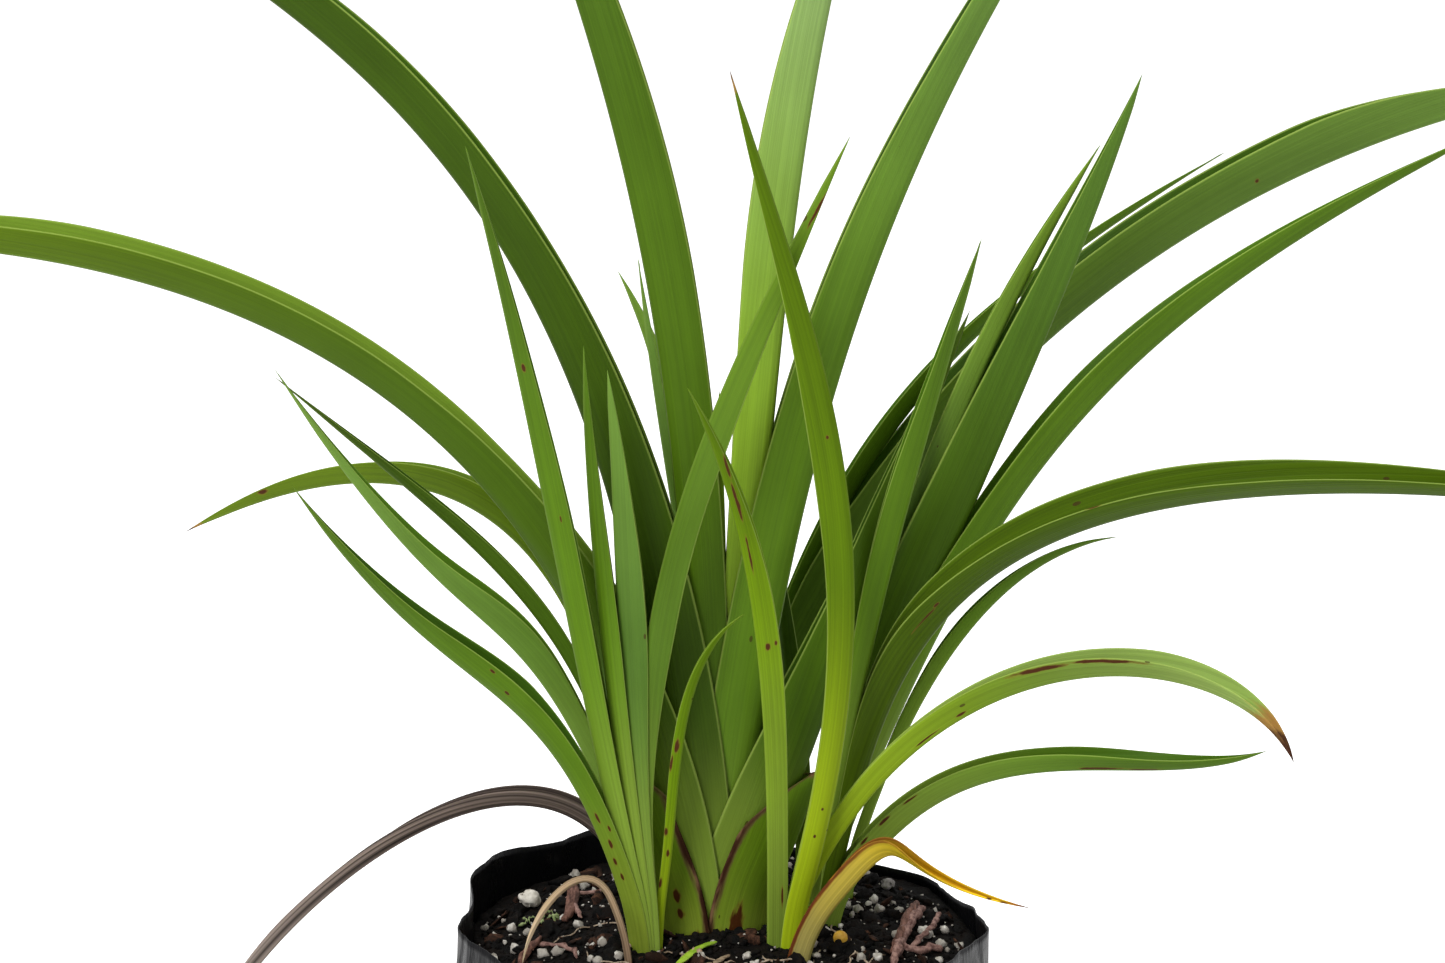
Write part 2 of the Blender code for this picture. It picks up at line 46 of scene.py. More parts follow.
# Planter bag. A thin black polythene bag, filled so that it stands as a rounded, creased
# tube on a flat base, with drain holes low down. The film above the mix is soft and
# wavy, and it shines where its creases turn.
BAG_RADIUS = 81 * MM
BASE_RADIUS = 66 * MM
BAG_SQUARENESS = 2.25
RIM_HEIGHT = 160 * MM
RIM_TILT = 6 * MM
RIM_TILT_WAY = 60            # degrees; the rim is lowest on this side
RIM_SAG = 3.5 * MM
RIM_SAG_TURN = 270           # degrees
RIM_RIPPLE = 0.9 * MM
CREASE = 1.6 * MM
CREASES = ((9, 2.2, 0, 1.0), (14, -3, 1, 0.6))   # count, drift up the wall, start, strength
FILM = 0.3 * MM
FILM_DENT = 0.55 * MM        # how deep the mix lets the film sink between its crumbs
LIP_WAVE = 1.5 * MM          # ripple of the free film above the mix
LONG_CREASES = 7             # how closely the creases, dents and ripples of the film stand
SMALL_DENTS = 22
LIP_RIPPLES = 5
FILM_COLUMNS = 300
FILM_ROWS = 70
DRAIN_HOLES = 8
DRAIN_RADIUS = 4 * MM
DRAIN_HEIGHT = 12 * MM
DRAIN_PUNCH = 14 * MM
BAG_LEVELS = (0.0, 0.05, 0.2, 0.4, 0.6, 0.85, 1.0)
FILM_COLOUR = (0.005, 0.005, 0.006, 1)
FILM_DUST = (0.011, 0.0105, 0.0105, 1)


def smooth(low, high, value):
    """0 below low, 1 above high, and a soft step between."""
    part = min(1.0, max(0.0, (value - low) / (high - low)))
    return part * part * (3 - 2 * part)


def mix(first, second, part):
    """The value at a part of the way from first to second."""
    return first + (second - first) * part


def rim_height(angle):
    """Height of the rim, which tilts, sags at two sides and ripples."""
    tilt = -RIM_TILT * math.cos(angle - math.radians(RIM_TILT_WAY))
    sag = RIM_SAG * math.cos(2 * angle - math.radians(RIM_SAG_TURN))
    return RIM_HEIGHT + tilt + sag + RIM_RIPPLE * math.sin(7 * angle + 1)


def bag_point(angle, part, inset):
    """A point of the bag's wall at a part of its height, set in along the wall's normal."""
    def outline(at):
        """The wall's rounded square with its long creases, before it is set in."""
        round_square = abs(math.cos(at)) ** BAG_SQUARENESS + abs(math.sin(at)) ** BAG_SQUARENESS
        radius = mix(BASE_RADIUS, BAG_RADIUS, smooth(-0.6, 0.75, part))
        crease = sum(strength * math.sin(count * at + drift * part + start)
                     for count, drift, start, strength in CREASES)
        radius *= round_square ** (-1 / BAG_SQUARENESS)
        radius += CREASE * crease * (0.25 + 0.75 * part)
        return Vector((math.cos(at) * radius, math.sin(at) * radius))
    along = (outline(angle + 0.01) - outline(angle - 0.01)).normalized()
    return outline(angle) + Vector((-along.y, along.x)) * inset


def wall_point(angle, part, inset):
    """A point of the wall between two of its levels, on the straight line that joins them."""
    for low, high in zip(BAG_LEVELS, BAG_LEVELS[1:]):
        if part <= high:
            break
    share = (part - low) / (high - low)
    flat = bag_point(angle, low, inset).lerp(bag_point(angle, high, inset), share)
    return Vector((flat.x, flat.y, mix(0, rim_height(angle), part)))


def film_dent(angle, part):
    """How far the film stands in from its smooth wall: long creases, small dents and a
    rippled lip."""
    around = Vector((math.cos(angle), math.sin(angle), 0))
    crease = abs(noise.noise(around * LONG_CREASES + Vector((0, 0, part * 1.5))))
    small = noise.noise(around * SMALL_DENTS + Vector((0, 0, part * 14)))
    dent = FILM_DENT * (0.3 + 1.6 * (0.5 - crease) + 0.7 * small)
    free = smooth(0.9, 1.0, part)
    ripple = noise.noise(around * LIP_RIPPLES + Vector((3, 0, part * 2)))
    return max(0.0, dent) * smooth(0, 0.05, part) + LIP_WAVE * free * (0.5 + ripple)


def new_object(name, data):
    """An object in the scene that carries this mesh, lamp or camera."""
    thing = bpy.data.objects.new(name, data)
    bpy.context.scene.collection.objects.link(thing)
    return thing


def make_film():
    """The bag as a closed skin: up the outer wall, over the rim and down the inner wall."""
    points, faces, rings = [], [], []
    levels = [step / FILM_ROWS for step in range(FILM_ROWS + 1)]
    for inside in (False, True):
        for part in reversed(levels) if inside else levels:
            ring = []
            for step in range(FILM_COLUMNS):
                angle = 2 * math.pi * step / FILM_COLUMNS
                inset = film_dent(angle, part) + (FILM if inside else 0)
                point = wall_point(angle, part, inset)
                if inside:
                    point.z = max(point.z, FILM)
                ring.append(len(points))
                points.append(point)
            rings.append(ring)
    for low, high in zip(rings, rings[1:]):
        for step in range(FILM_COLUMNS):
            after = (step + 1) % FILM_COLUMNS
            faces.append((low[step], low[after], high[after], high[step]))
    faces += [rings[0][::-1], rings[-1]]
    mesh = bpy.data.meshes.new("bag_film")
    mesh.from_pydata([tuple(point) for point in points], [], faces)
    return new_object("bag_film", mesh)


def punch_drain_holes(film):
    """Cuts the drain holes with small cylinders and removes the cutters."""
    for step in range(DRAIN_HOLES):
        angle = 2 * math.pi * (step + 0.5) / DRAIN_HOLES
        middle = wall_point(angle, DRAIN_HEIGHT / RIM_HEIGHT, 0)
        bpy.ops.mesh.primitive_cylinder_add(vertices=24, radius=DRAIN_RADIUS, depth=DRAIN_PUNCH)
        punch = bpy.context.object
        punch.location = (middle.x, middle.y, DRAIN_HEIGHT)
        punch.rotation_euler = (0, math.pi / 2, angle)
        modifier = film.modifiers.new("drain hole", "BOOLEAN")
        modifier.object = punch
        modifier.operation = "DIFFERENCE"
        modifier.solver = "EXACT"
        settle_mesh(film)
        bpy.data.objects.remove(punch)


def settle_mesh(piece):
    """Turns what the piece's modifiers make into its plain mesh."""
    graph = bpy.context.evaluated_depsgraph_get()
    result = bpy.data.meshes.new_from_object(piece.evaluated_get(graph))
    piece.modifiers.clear()
    old = piece.data
    piece.data = result
    bpy.data.meshes.remove(old)
    result.name = piece.name


def close_mesh(piece):
    """Merges doubled points and turns every face outwards."""
    grid = bmesh.new()
    grid.from_mesh(piece.data)
    bmesh.ops.remove_doubles(grid, verts=grid.verts, dist=1e-6)
    bmesh.ops.recalc_face_normals(grid, faces=grid.faces)
    grid.to_mesh(piece.data)
    grid.free()
    piece.data.shade_smooth()


def put(tree, kind, sockets=None, **settings):
    """Adds a node, with its settings, and fills its sockets with values or links."""
    node = tree.nodes.new(kind)
    for name, value in settings.items():
        setattr(node, name, value)
    for name, value in (sockets or {}).items():
        if isinstance(value, bpy.types.NodeSocket):
            tree.links.new(value, node.inputs[name])
        else:
            node.inputs[name].default_value = value
    return node


def calc(tree, operation, *values):
    """One step of arithmetic between sockets and numbers."""
    return put(tree, "ShaderNodeMath", dict(enumerate(values)), operation=operation).outputs[0]


def times(tree, first, *others):
    """A product of sockets and numbers, worked out from left to right."""
    for other in others:
        first = calc(tree, "MULTIPLY", first, other)
    return first


def ramp(tree, value, low, high, first=0.0, second=1.0):
    """A soft step from first to second while the value goes from low to high."""
    sockets = {"Value": value, "From Min": low, "From Max": high, "To Min": first, "To Max": second}
    return put(tree, "ShaderNodeMapRange", sockets, interpolation_type="SMOOTHSTEP").outputs[0]


def blend(tree, share, first, second, way="MIX"):
    """Mixes two colours by a share."""
    return put(tree, "ShaderNodeMix", {0: share, 6: first, 7: second}, data_type="RGBA",
               blend_type=way).outputs[2]


def cloud(tree, where, scale, detail, rough=0.5):
    """A soft random pattern from 0 to 1, finer where its scale is larger."""
    return put(tree, "ShaderNodeTexNoise", {"Vector": where, "Scale": scale, "Detail": detail,
                                            "Roughness": rough}).outputs[0]


def new_material(name, **sockets):
    """A material whose shader has these plain values, and its tree and shader."""
    material = bpy.data.materials.new(name)
    material.use_nodes = True
    shader = material.node_tree.nodes["Principled BSDF"]
    for socket, value in sockets.items():
        shader.inputs[socket.replace("_", " ")].default_value = value
    return material, material.node_tree, shader


def cover(tree, shader, colour, rough, height, strength, depth):
    """Gives a shader its colour, its roughness and the relief of its surface."""
    tree.links.new(colour, shader.inputs["Base Color"])
    tree.links.new(rough, shader.inputs["Roughness"])
    bump = put(tree, "ShaderNodeBump", {"Height": height, "Strength": strength, "Distance": depth})
    tree.links.new(bump.outputs[0], shader.inputs["Normal"])


def film_material():
    """Black film: a soft sheen over fine crinkles, dulled by patches of dust."""
    material, tree, shader = new_material("black film", Specular_IOR_Level=0.13, Coat_Weight=0.01,
                                          Coat_Roughness=0.2)
    place = put(tree, "ShaderNodeTexCoord").outputs["Object"]
    upright = put(tree, "ShaderNodeMapping", {"Vector": place, "Scale": (70, 70, 14)}).outputs[0]
    crinkle = cloud(tree, upright, 1, 5, 0.62)
    fine = cloud(tree, place, 260, 4)
    patch = cloud(tree, place, 34, 6, 0.7)
    dust = times(tree, ramp(tree, patch, 0.52, 0.78), ramp(tree, fine, 0.35, 0.75))
    colour = blend(tree, times(tree, dust, 0.75), FILM_COLOUR, FILM_DUST)
    rough = calc(tree, "ADD", ramp(tree, crinkle, 0.3, 0.75, 0.2, 0.42), times(tree, dust, 0.4))
    relief = calc(tree, "ADD", crinkle, times(tree, fine, 0.12))
    cover(tree, shader, colour, rough, relief, 0.9, 1.6 * MM)
    return material


bag_film = make_film()
punch_drain_holes(bag_film)
close_mesh(bag_film)
bag_film.data.materials.clear()
bag_film.data.materials.append(film_material())
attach(bag_film, "root")
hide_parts("planter_bag")


# Potting mix. Damp black bark crumbs that fill the bag and lie in a low dome, with
# white grains of perlite and pumice and flakes of brown bark through it. Its surface is
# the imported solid's own, made finer, with loose crumbs lying over it.
MIX_BLACK = (0.0018, 0.0015, 0.0013, 1)
MIX_BROWN = (0.010, 0.006, 0.004, 1)
PERLITE_SHADE = (0.30, 0.27, 0.23, 1)
PERLITE_WHITE = (0.78, 0.75, 0.68, 1)
FLAKE_DARK = (0.016, 0.007, 0.004, 1)
FLAKE_BROWN = (0.105, 0.048, 0.028, 1)
SURFACE_HEIGHT = 140 * MM    # the open surface lies above this
SURFACE_RELIEF = 0.9 * MM
SURFACE_EDGE = 1.5 * MM      # longer edges of the surface are split
SURFACE_LUMPS = 260          # how closely its lumps and its fine crumbs stand
SURFACE_CRUMBS = 620
GRAIN_REACH = 76 * MM        # loose grains lie within this radius
GRAIN_SHAPES = 4


def copy_solid(node, name):
    """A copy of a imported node's mesh, with its loose triangles joined."""
    piece = new_object(name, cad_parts[node].data.copy())
    piece.data.materials.clear()
    close_mesh(piece)
    return piece


def refine_surface(piece):
    """Splits the mix's open surface into small faces and roughens it."""
    grid = bmesh.new()
    grid.from_mesh(piece.data)
    for cuts in (2, 1):
        open_faces = [face for face in grid.faces
                      if face.normal.z > 0.4 and face.calc_center_median().z > SURFACE_HEIGHT]
        edges = {edge for face in open_faces for edge in face.edges}
        long_edges = [edge for edge in edges if edge.calc_length() > SURFACE_EDGE]
        bmesh.ops.subdivide_edges(grid, edges=long_edges, cuts=cuts, use_grid_fill=True)
    bmesh.ops.triangulate(grid, faces=grid.faces)
    for point in grid.verts:
        if point.co.z > SURFACE_HEIGHT and point.normal.z > 0.5:
            lumps = noise.noise(point.co * SURFACE_LUMPS)
            rough = lumps + 0.6 * noise.noise(point.co * SURFACE_CRUMBS)
            point.co.z += SURFACE_RELIEF * (rough - 0.4)
    grid.to_mesh(piece.data)
    grid.free()


def crumb_material(name, dark, light, grain, shine=0.12):
    """Crumbs of one kind, each a little lighter or darker than the next."""
    material, tree, shader = new_material(name, Specular_IOR_Level=shine)
    place = put(tree, "ShaderNodeTexCoord").outputs["Object"]
    lump = put(tree, "ShaderNodeTexVoronoi", {"Vector": place, "Scale": 330}).outputs["Color"]
    tone = put(tree, "ShaderNodeSeparateColor", {0: lump}).outputs[0]
    fine = cloud(tree, place, grain, 6, 0.7)
    share = times(tree, ramp(tree, tone, 0.1, 1.0), ramp(tree, fine, 0.3, 0.7))
    cover(tree, shader, blend(tree, share, dark, light), ramp(tree, fine, 0.3, 0.7, 0.62, 0.92),
          fine, 0.8, 0.5 * MM)
    return material


def new_tree(title, use, *rows):
    """A node tree with these named sockets, each (name, kind, value), where the value "out"
    marks an output, and what comes in at its inputs."""
    tree = bpy.data.node_groups.new(title, use + "NodeTree")
    for name, kind, value in rows:
        way = "OUTPUT" if value == "out" else "INPUT"
        socket = tree.interface.new_socket(name, in_out=way, socket_type="NodeSocket" + kind)
        if value is not None and value != "out":
            socket.default_value = value
    return tree, put(tree, "NodeGroupInput").outputs


def combine(tree, x=0.0, y=0.0, z=0.0):
    """A vector made of three sockets or numbers."""
    return put(tree, "ShaderNodeCombineXYZ", {0: x, 1: y, 2: z}).outputs[0]


def grain_tree():
    """Scatters irregular grains over a surface, turned every way and partly sunk in."""
    tree, start = new_tree(
        "scattered grains", "Geometry", ("Ground", "Geometry", None), ("Density", "Float", 1000.0),
        ("Spacing", "Float", 1 * MM), ("Smallest", "Float", 1 * MM), ("Largest", "Float", 3 * MM),
        ("Flatness", "Float", 0.7), ("Length", "Float", 1.0), ("Lift", "Float", 0.0),
        ("Roundness", "Int", 2), ("Seed", "Int", 1), ("Finish", "Material", None),
        ("Grains", "Geometry", "out"))
    spread = put(tree, "GeometryNodeDistributePointsOnFaces",
                 {"Mesh": start["Ground"], "Distance Min": start["Spacing"],
                  "Density Max": start["Density"], "Seed": start["Seed"]},
                 distribute_method="POISSON")
    shapes = put(tree, "GeometryNodeJoinGeometry")
    for variety in range(GRAIN_SHAPES):
        ball = put(tree, "GeometryNodeMeshIcoSphere", {"Radius": 0.5,
                                                       "Subdivisions": start["Roundness"]})
        where = put(tree, "GeometryNodeInputPosition").outputs[0]
        moved = put(tree, "ShaderNodeVectorMath", {0: where, 1: (3.1 * variety, 1.7 * variety, 0)})
        swell = calc(tree, "MULTIPLY_ADD", cloud(tree, moved.outputs[0], 2.4, 2), 2.1, -0.05)
        grown = put(tree, "ShaderNodeVectorMath", {0: where, "Scale": swell}, operation="SCALE")
        bent = put(tree, "GeometryNodeSetPosition", {"Geometry": ball.outputs[0],
                                                     "Position": grown.outputs[0]})
        one = put(tree, "GeometryNodeGeometryToInstance", {0: bent.outputs[0]})
        tree.links.new(one.outputs[0], shapes.inputs[0])
    turn = put(tree, "FunctionNodeRandomValue", {0: (-3.1, -0.5, -0.5), 1: (3.1, 0.5, 0.5),
                                                 "Seed": calc(tree, "ADD", start["Seed"], 11)},
               data_type="FLOAT_VECTOR")
    size = put(tree, "FunctionNodeRandomValue", {"Seed": calc(tree, "ADD", start["Seed"], 23)},
               data_type="FLOAT")
    small = calc(tree, "POWER", size.outputs[1], 2.2)
    width = ramp(tree, small, 0.0, 1.0, start["Smallest"], start["Largest"])
    box = combine(tree, times(tree, width, start["Length"]), width,
                  times(tree, width, start["Flatness"]))
    placed = put(tree, "GeometryNodeInstanceOnPoints",
                 {"Points": spread.outputs["Points"], "Instance": shapes.outputs[0],
                  "Pick Instance": True, "Rotation": spread.outputs["Rotation"], "Scale": box})
    spun = put(tree, "GeometryNodeRotateInstances", {"Instances": placed.outputs[0],
                                                     "Rotation": turn.outputs[0]})
    raised = put(tree, "GeometryNodeTranslateInstances",
                 {"Instances": spun.outputs[0], "Translation": combine(tree, z=start["Lift"]),
                  "Local Space": False})
    real = put(tree, "GeometryNodeRealizeInstances", {"Geometry": raised.outputs[0]})
    done = put(tree, "GeometryNodeSetMaterial", {"Geometry": real.outputs[0],
                                                 "Material": start["Finish"]})
    put(tree, "NodeGroupOutput", {"Grains": done.outputs[0]})
    return tree


def set_inputs(modifier, **values):
    """Sets a Geometry Nodes modifier's inputs by the identifiers of their sockets."""
    for item in modifier.node_group.interface.items_tree:
        if item.in_out == "INPUT" and item.name.replace(" ", "_") in values:
            modifier[item.identifier] = values[item.name.replace(" ", "_")]


def scatter(name, ground, finish, slot, **values):
    """One piece made of grains over the ground mesh."""
    piece = new_object(name, ground.data.copy())
    modifier = piece.modifiers.new("grains", "NODES")
    modifier.node_group = GRAINS
    set_inputs(modifier, Finish=finish, **values)
    settle_mesh(piece)
    piece.data.shade_smooth()
    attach(piece, "root")


def open_surface(piece):
    """The part of the mix's surface that carries loose grains, as an object of its own."""
    ground = new_object("open_surface", piece.data.copy())
    grid = bmesh.new()
    grid.from_mesh(ground.data)
    low = [face for face in grid.faces if face.normal.z < 0.35
           or face.calc_center_median().z < SURFACE_HEIGHT
           or face.calc_center_median().xy.length > GRAIN_REACH]
    bmesh.ops.delete(grid, geom=low, context="FACES")
    grid.to_mesh(ground.data)
    grid.free()
    return ground


mix_surface = copy_solid("potting_mix", "mix_surface")
refine_surface(mix_surface)
close_mesh(mix_surface)
black_crumb = crumb_material("black bark mix", MIX_BLACK, MIX_BROWN, 900)
mix_surface.data.materials.append(black_crumb)
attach(mix_surface, "root")
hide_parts("potting_mix")

GRAINS = grain_tree()
ground = open_surface(mix_surface)
scatter("fine_crumbs", ground, black_crumb, "potting_mix", Density=240000.0, Spacing=0.9 * MM,
        Smallest=1.0 * MM, Largest=3.2 * MM, Flatness=0.75, Roundness=1, Seed=3)
scatter("coarse_crumbs", ground, black_crumb, "potting_mix", Density=24000.0, Spacing=3.6 * MM,
        Smallest=2.4 * MM, Largest=6.5 * MM, Flatness=0.6, Length=1.3, Roundness=3, Seed=8)
white_grain = crumb_material("perlite", PERLITE_SHADE, PERLITE_WHITE, 700, 0.3)
scatter("perlite_grains", ground, white_grain, "pale_stone", Density=26000.0, Spacing=1.9 * MM,
        Smallest=0.5 * MM, Largest=3.6 * MM, Flatness=0.85, Lift=0.9 * MM, Roundness=2, Seed=5)
brown_flake = crumb_material("brown bark flakes", FLAKE_DARK, FLAKE_BROWN, 800)
scatter("bark_flakes", ground, brown_flake, "bark", Density=14000.0, Spacing=2.4 * MM,
        Smallest=1.2 * MM, Largest=4.6 * MM, Flatness=0.3, Length=1.9, Lift=0.6 * MM, Roundness=2,
        Seed=14)
bpy.data.objects.remove(ground)


# Crowns. The stubs of rootstock that the fans grow from, out of sight in the mix: tan,
# fibrous and ringed by old leaf scars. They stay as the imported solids.
def crown_material():
    """Rootstock: light and dark rings, one over the other."""
    material, tree, shader = new_material("rootstock")
    place = put(tree, "ShaderNodeTexCoord").outputs["Object"]
    rings = put(tree, "ShaderNodeTexWave", {"Vector": place, "Scale": 420, "Distortion": 6,
                                            "Detail": 3}, bands_direction="Z").outputs[1]
    colour = blend(tree, rings, (0.20, 0.12, 0.06, 1), (0.46, 0.34, 0.2, 1))
    cover(tree, shader, colour, ramp(tree, rings, 0, 1, 0.85, 0.6), rings, 0.6, 0.4 * MM)
    return material


rootstock = crown_material()
for node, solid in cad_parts.items():
    if node.startswith("crown_"):
        solid.data.materials.clear()
        solid.data.materials.append(rootstock)


# Leaves. Each is a sword-shaped blade folded along its keel, with the fold's open side
# towards the middle of its fan; below, the closed sheath clasps the younger leaves.
# Tough and thin, with a satin skin, fine veins along it and pale edges.
CROWN_TOP = 148 * MM
FOOT_LIFT = 0.3 * MM         # a leaf's foot stands this far above its crown
THROAT = 26 * MM             # height of the upright sheath
FIRST_KEEL = 0.5 * MM
FIRST_HALF_GAP = 0.6 * MM
HALF_GAP_STEP = 1.1 * MM
BLADE_HALF_GAP = 0.55 * MM
CLEARANCE = 1.6 * MM
DRIFT = 2.8                  # power by which a blade leaves its fan's plane
TAPER_POWER = 1.6
TIP_FLANK = 0.35 * MM
WIDENING = 60 * MM           # length over which a blade widens above its sheath
SPREADING = 90 * MM          # length over which its fold opens
ROW = 2.6 * MM               # length of blade between two rows of faces
COLUMNS = 41                 # points around the folded section
BLADE_THICKNESS = 0.55 * MM
KEEL_SHARE = 1.6             # a keel is thicker than its blade by this

# Fans: x and y of the middle (mm) and the step from one keel to the next (mm)
FANS = {
    "main": (-4, 2, 2.1),
    "left_front": (-20.5, -15, 1.15),
    "left_back": (-22, 18, 1.35),
    "right_front": (17.5, -15, 3.0),
    "right_back": (27, 18, 1.35),
    "low_right": (19.5, -9.5, 2.4),
    "far_right": (31, 3, 1.35),
    "back": (2, 35, 1.35),
    "little_back": (-10, 47, 1.35),
    "little_left": (-27, 33, 1.35),
    "little_right": (39, 29, 1.35),
    "yellow": (22, -26, 3.0),
    "dead": (-27, -27, 1.35),
}

# A leaf: its fan, the side that its keel faces, its place outwards in the fan, its tip
# (mm), lean of the blade at the throat and droop at the tip (degrees), reach of the two
# handles between them, flank in the sheath and in the blade (mm), height at which the
# fold opens (mm), how far it opens (degrees), part that tapers, and twist (degrees).
Leaf = namedtuple(
    "Leaf",
    "name fan side order tip lean rise droop sweep clasp width opens opening taper twist")


def keel_offset(fan, order):
    """How far a leaf's keel stands from the middle of its fan."""
    return FIRST_KEEL + FANS[fan][2] * MM * (order + 1)


def half_gap(order):
    """Half of the space inside a sheath, wider for the outer ones."""
    return FIRST_HALF_GAP + HALF_GAP_STEP * order


def bezier(points, t):
    """A point of the curve with four handles."""
    a, b, c, d = points
    s = 1 - t
    return a * s**3 + b * 3 * s * s * t + c * 3 * s * t * t + d * t**3


def keel_handles(leaf):
    """The keel line of a leaf: the three handles of its sheath, the four of its blade, and
    the distance from its throat to its tip."""
    foot_x, foot_y, _ = FANS[leaf.fan]
    foot_x = foot_x * MM + leaf.side * keel_offset(leaf.fan, leaf.order)
    foot = Vector((foot_x, foot_y * MM, CROWN_TOP + FOOT_LIFT))
    tip = Vector(leaf.tip) * MM
    slope = math.tan(math.radians(leaf.lean))
    throat = foot + Vector((slope * THROAT / 2, 0, THROAT))
    lean_way = Vector((slope, 0, 1)).normalized()
    level = Vector((math.copysign(1, tip.x - throat.x), 0, 0))
    angle = math.radians(leaf.droop)
    tip_way = level * math.sin(angle) + Vector((0, 0, math.cos(angle)))
    reach = (tip - throat).length
    sheath = (foot, foot + Vector((0, 0, THROAT / 2)), throat)
    blade = (throat, throat + lean_way * reach * leaf.rise, tip - tip_way * reach * leaf.sweep, tip)
    return sheath, blade, reach


def keel_places(leaf):
    """Places along the keel, each with its part of the sheath and its part of the blade."""
    (foot, bend, throat), blade, reach = keel_handles(leaf)
    sheath_rows = round(THROAT / ROW)
    blade_rows = max(24, round(reach * 1.12 / ROW))
    places = []
    for step in range(sheath_rows):
        t = step / sheath_rows
        places.append((foot * (1 - t)**2 + bend * 2 * t * (1 - t) + throat * t * t, t, 0.0))
    for step in range(blade_rows + 1):
        t = step / blade_rows
        place = bezier(blade, t)
        place.y = mix(foot.y, leaf.tip[1] * MM, t ** DRIFT)
        places.append((place, 1.0, t))
    return places


def blade_shape(leaf, reach, blade):
    """Flank width, half gap and spread of the fold, and how far it is open, at a part of
    the blade."""
    above = blade * reach
    opens = leaf.opens * MM
    clasp = keel_offset(leaf.fan, leaf.order) + keel_offset(leaf.fan, leaf.order + 1)
    clasp = min(leaf.clasp * MM, clasp - 0.5 * half_gap(leaf.order) - CLEARANCE)
    flank = mix(clasp, leaf.width * MM, smooth(5 * MM, opens + WIDENING, above))
    start = 1 - leaf.taper
    if blade > start:
        flank *= 1 - ((blade - start) / leaf.taper) ** TAPER_POWER
    flank = max(flank, TIP_FLANK)
    opened = smooth(opens - 10 * MM, opens + WIDENING, above)
    gap = mix(half_gap(leaf.order), BLADE_HALF_GAP, opened)
    if flank > 3.5 * MM:
        gap = min(gap, 2 * (flank - 3.2 * MM), 0.6 * flank)
    else:
        gap = 0.17 * flank
    gap = max(gap, 0.1 * MM)
    spread = leaf.opening * smooth(opens - 10 * MM, opens + SPREADING, above)
    spread = mix(spread, 0.6 * leaf.opening, smooth(0.7, 1.0, blade))
    return flank, gap, math.radians(spread), opened


def leaf_rail(leaf):
    """The keel as a chain of points that carry the fold's directions and sizes, and the
    length of the blade along it. The fold faces the fan's middle at its foot, and then
    stays square to the keel."""
    inward = Vector((-leaf.side, 0, 0))
    reach = keel_handles(leaf)[2]
    places = keel_places(leaf)
    rail = bpy.data.meshes.new("rail")
    points, rows = [], []
    normal = inward.copy()
    along = -THROAT
    for number, (place, sheath, blade) in enumerate(places):
        before = places[max(0, number - 1)][0]
        after = places[min(len(places) - 1, number + 1)][0]
        way = (after - before).normalized()
        normal = (normal - way * normal.dot(way)).normalized()
        if sheath < 1:
            facing = (inward * mix(1, 0.3, sheath) + normal * 0.7 * sheath).normalized()
        else:
            facing = (inward * 0.3 * max(0, 1 - blade / 0.12) + normal).normalized()
        turn = math.radians(leaf.twist) * smooth(0.15, 0.9, blade)
        across = way.cross(facing).normalized()
        facing, across = (facing * math.cos(turn) + across * math.sin(turn),
                          across * math.cos(turn) - facing * math.sin(turn))
        flank, gap, spread, opened = blade_shape(leaf, reach, blade)
        if number:
            along += (place - places[number - 1][0]).length
        body = 0.0 if number in (0, len(places) - 1) else 1.0
        points.append(place)
        rows.append((facing, across, flank, gap, spread, opened, along, body))
    edges = [(number, number + 1) for number in range(len(points) - 1)]
    rail.from_pydata([tuple(point) for point in points], edges, [])
    for column, name in enumerate(("facing", "across")):
        values = rail.attributes.new(name, "FLOAT_VECTOR", "POINT").data
        values.foreach_set("vector", [part for row in rows for part in row[column]])
    for column, name in enumerate(("flank", "half_gap", "spread", "opened", "along", "body"), 2):
        values = rail.attributes.new(name, "FLOAT", "POINT").data
        values.foreach_set("value", [row[column] for row in rows])
    return rail, along


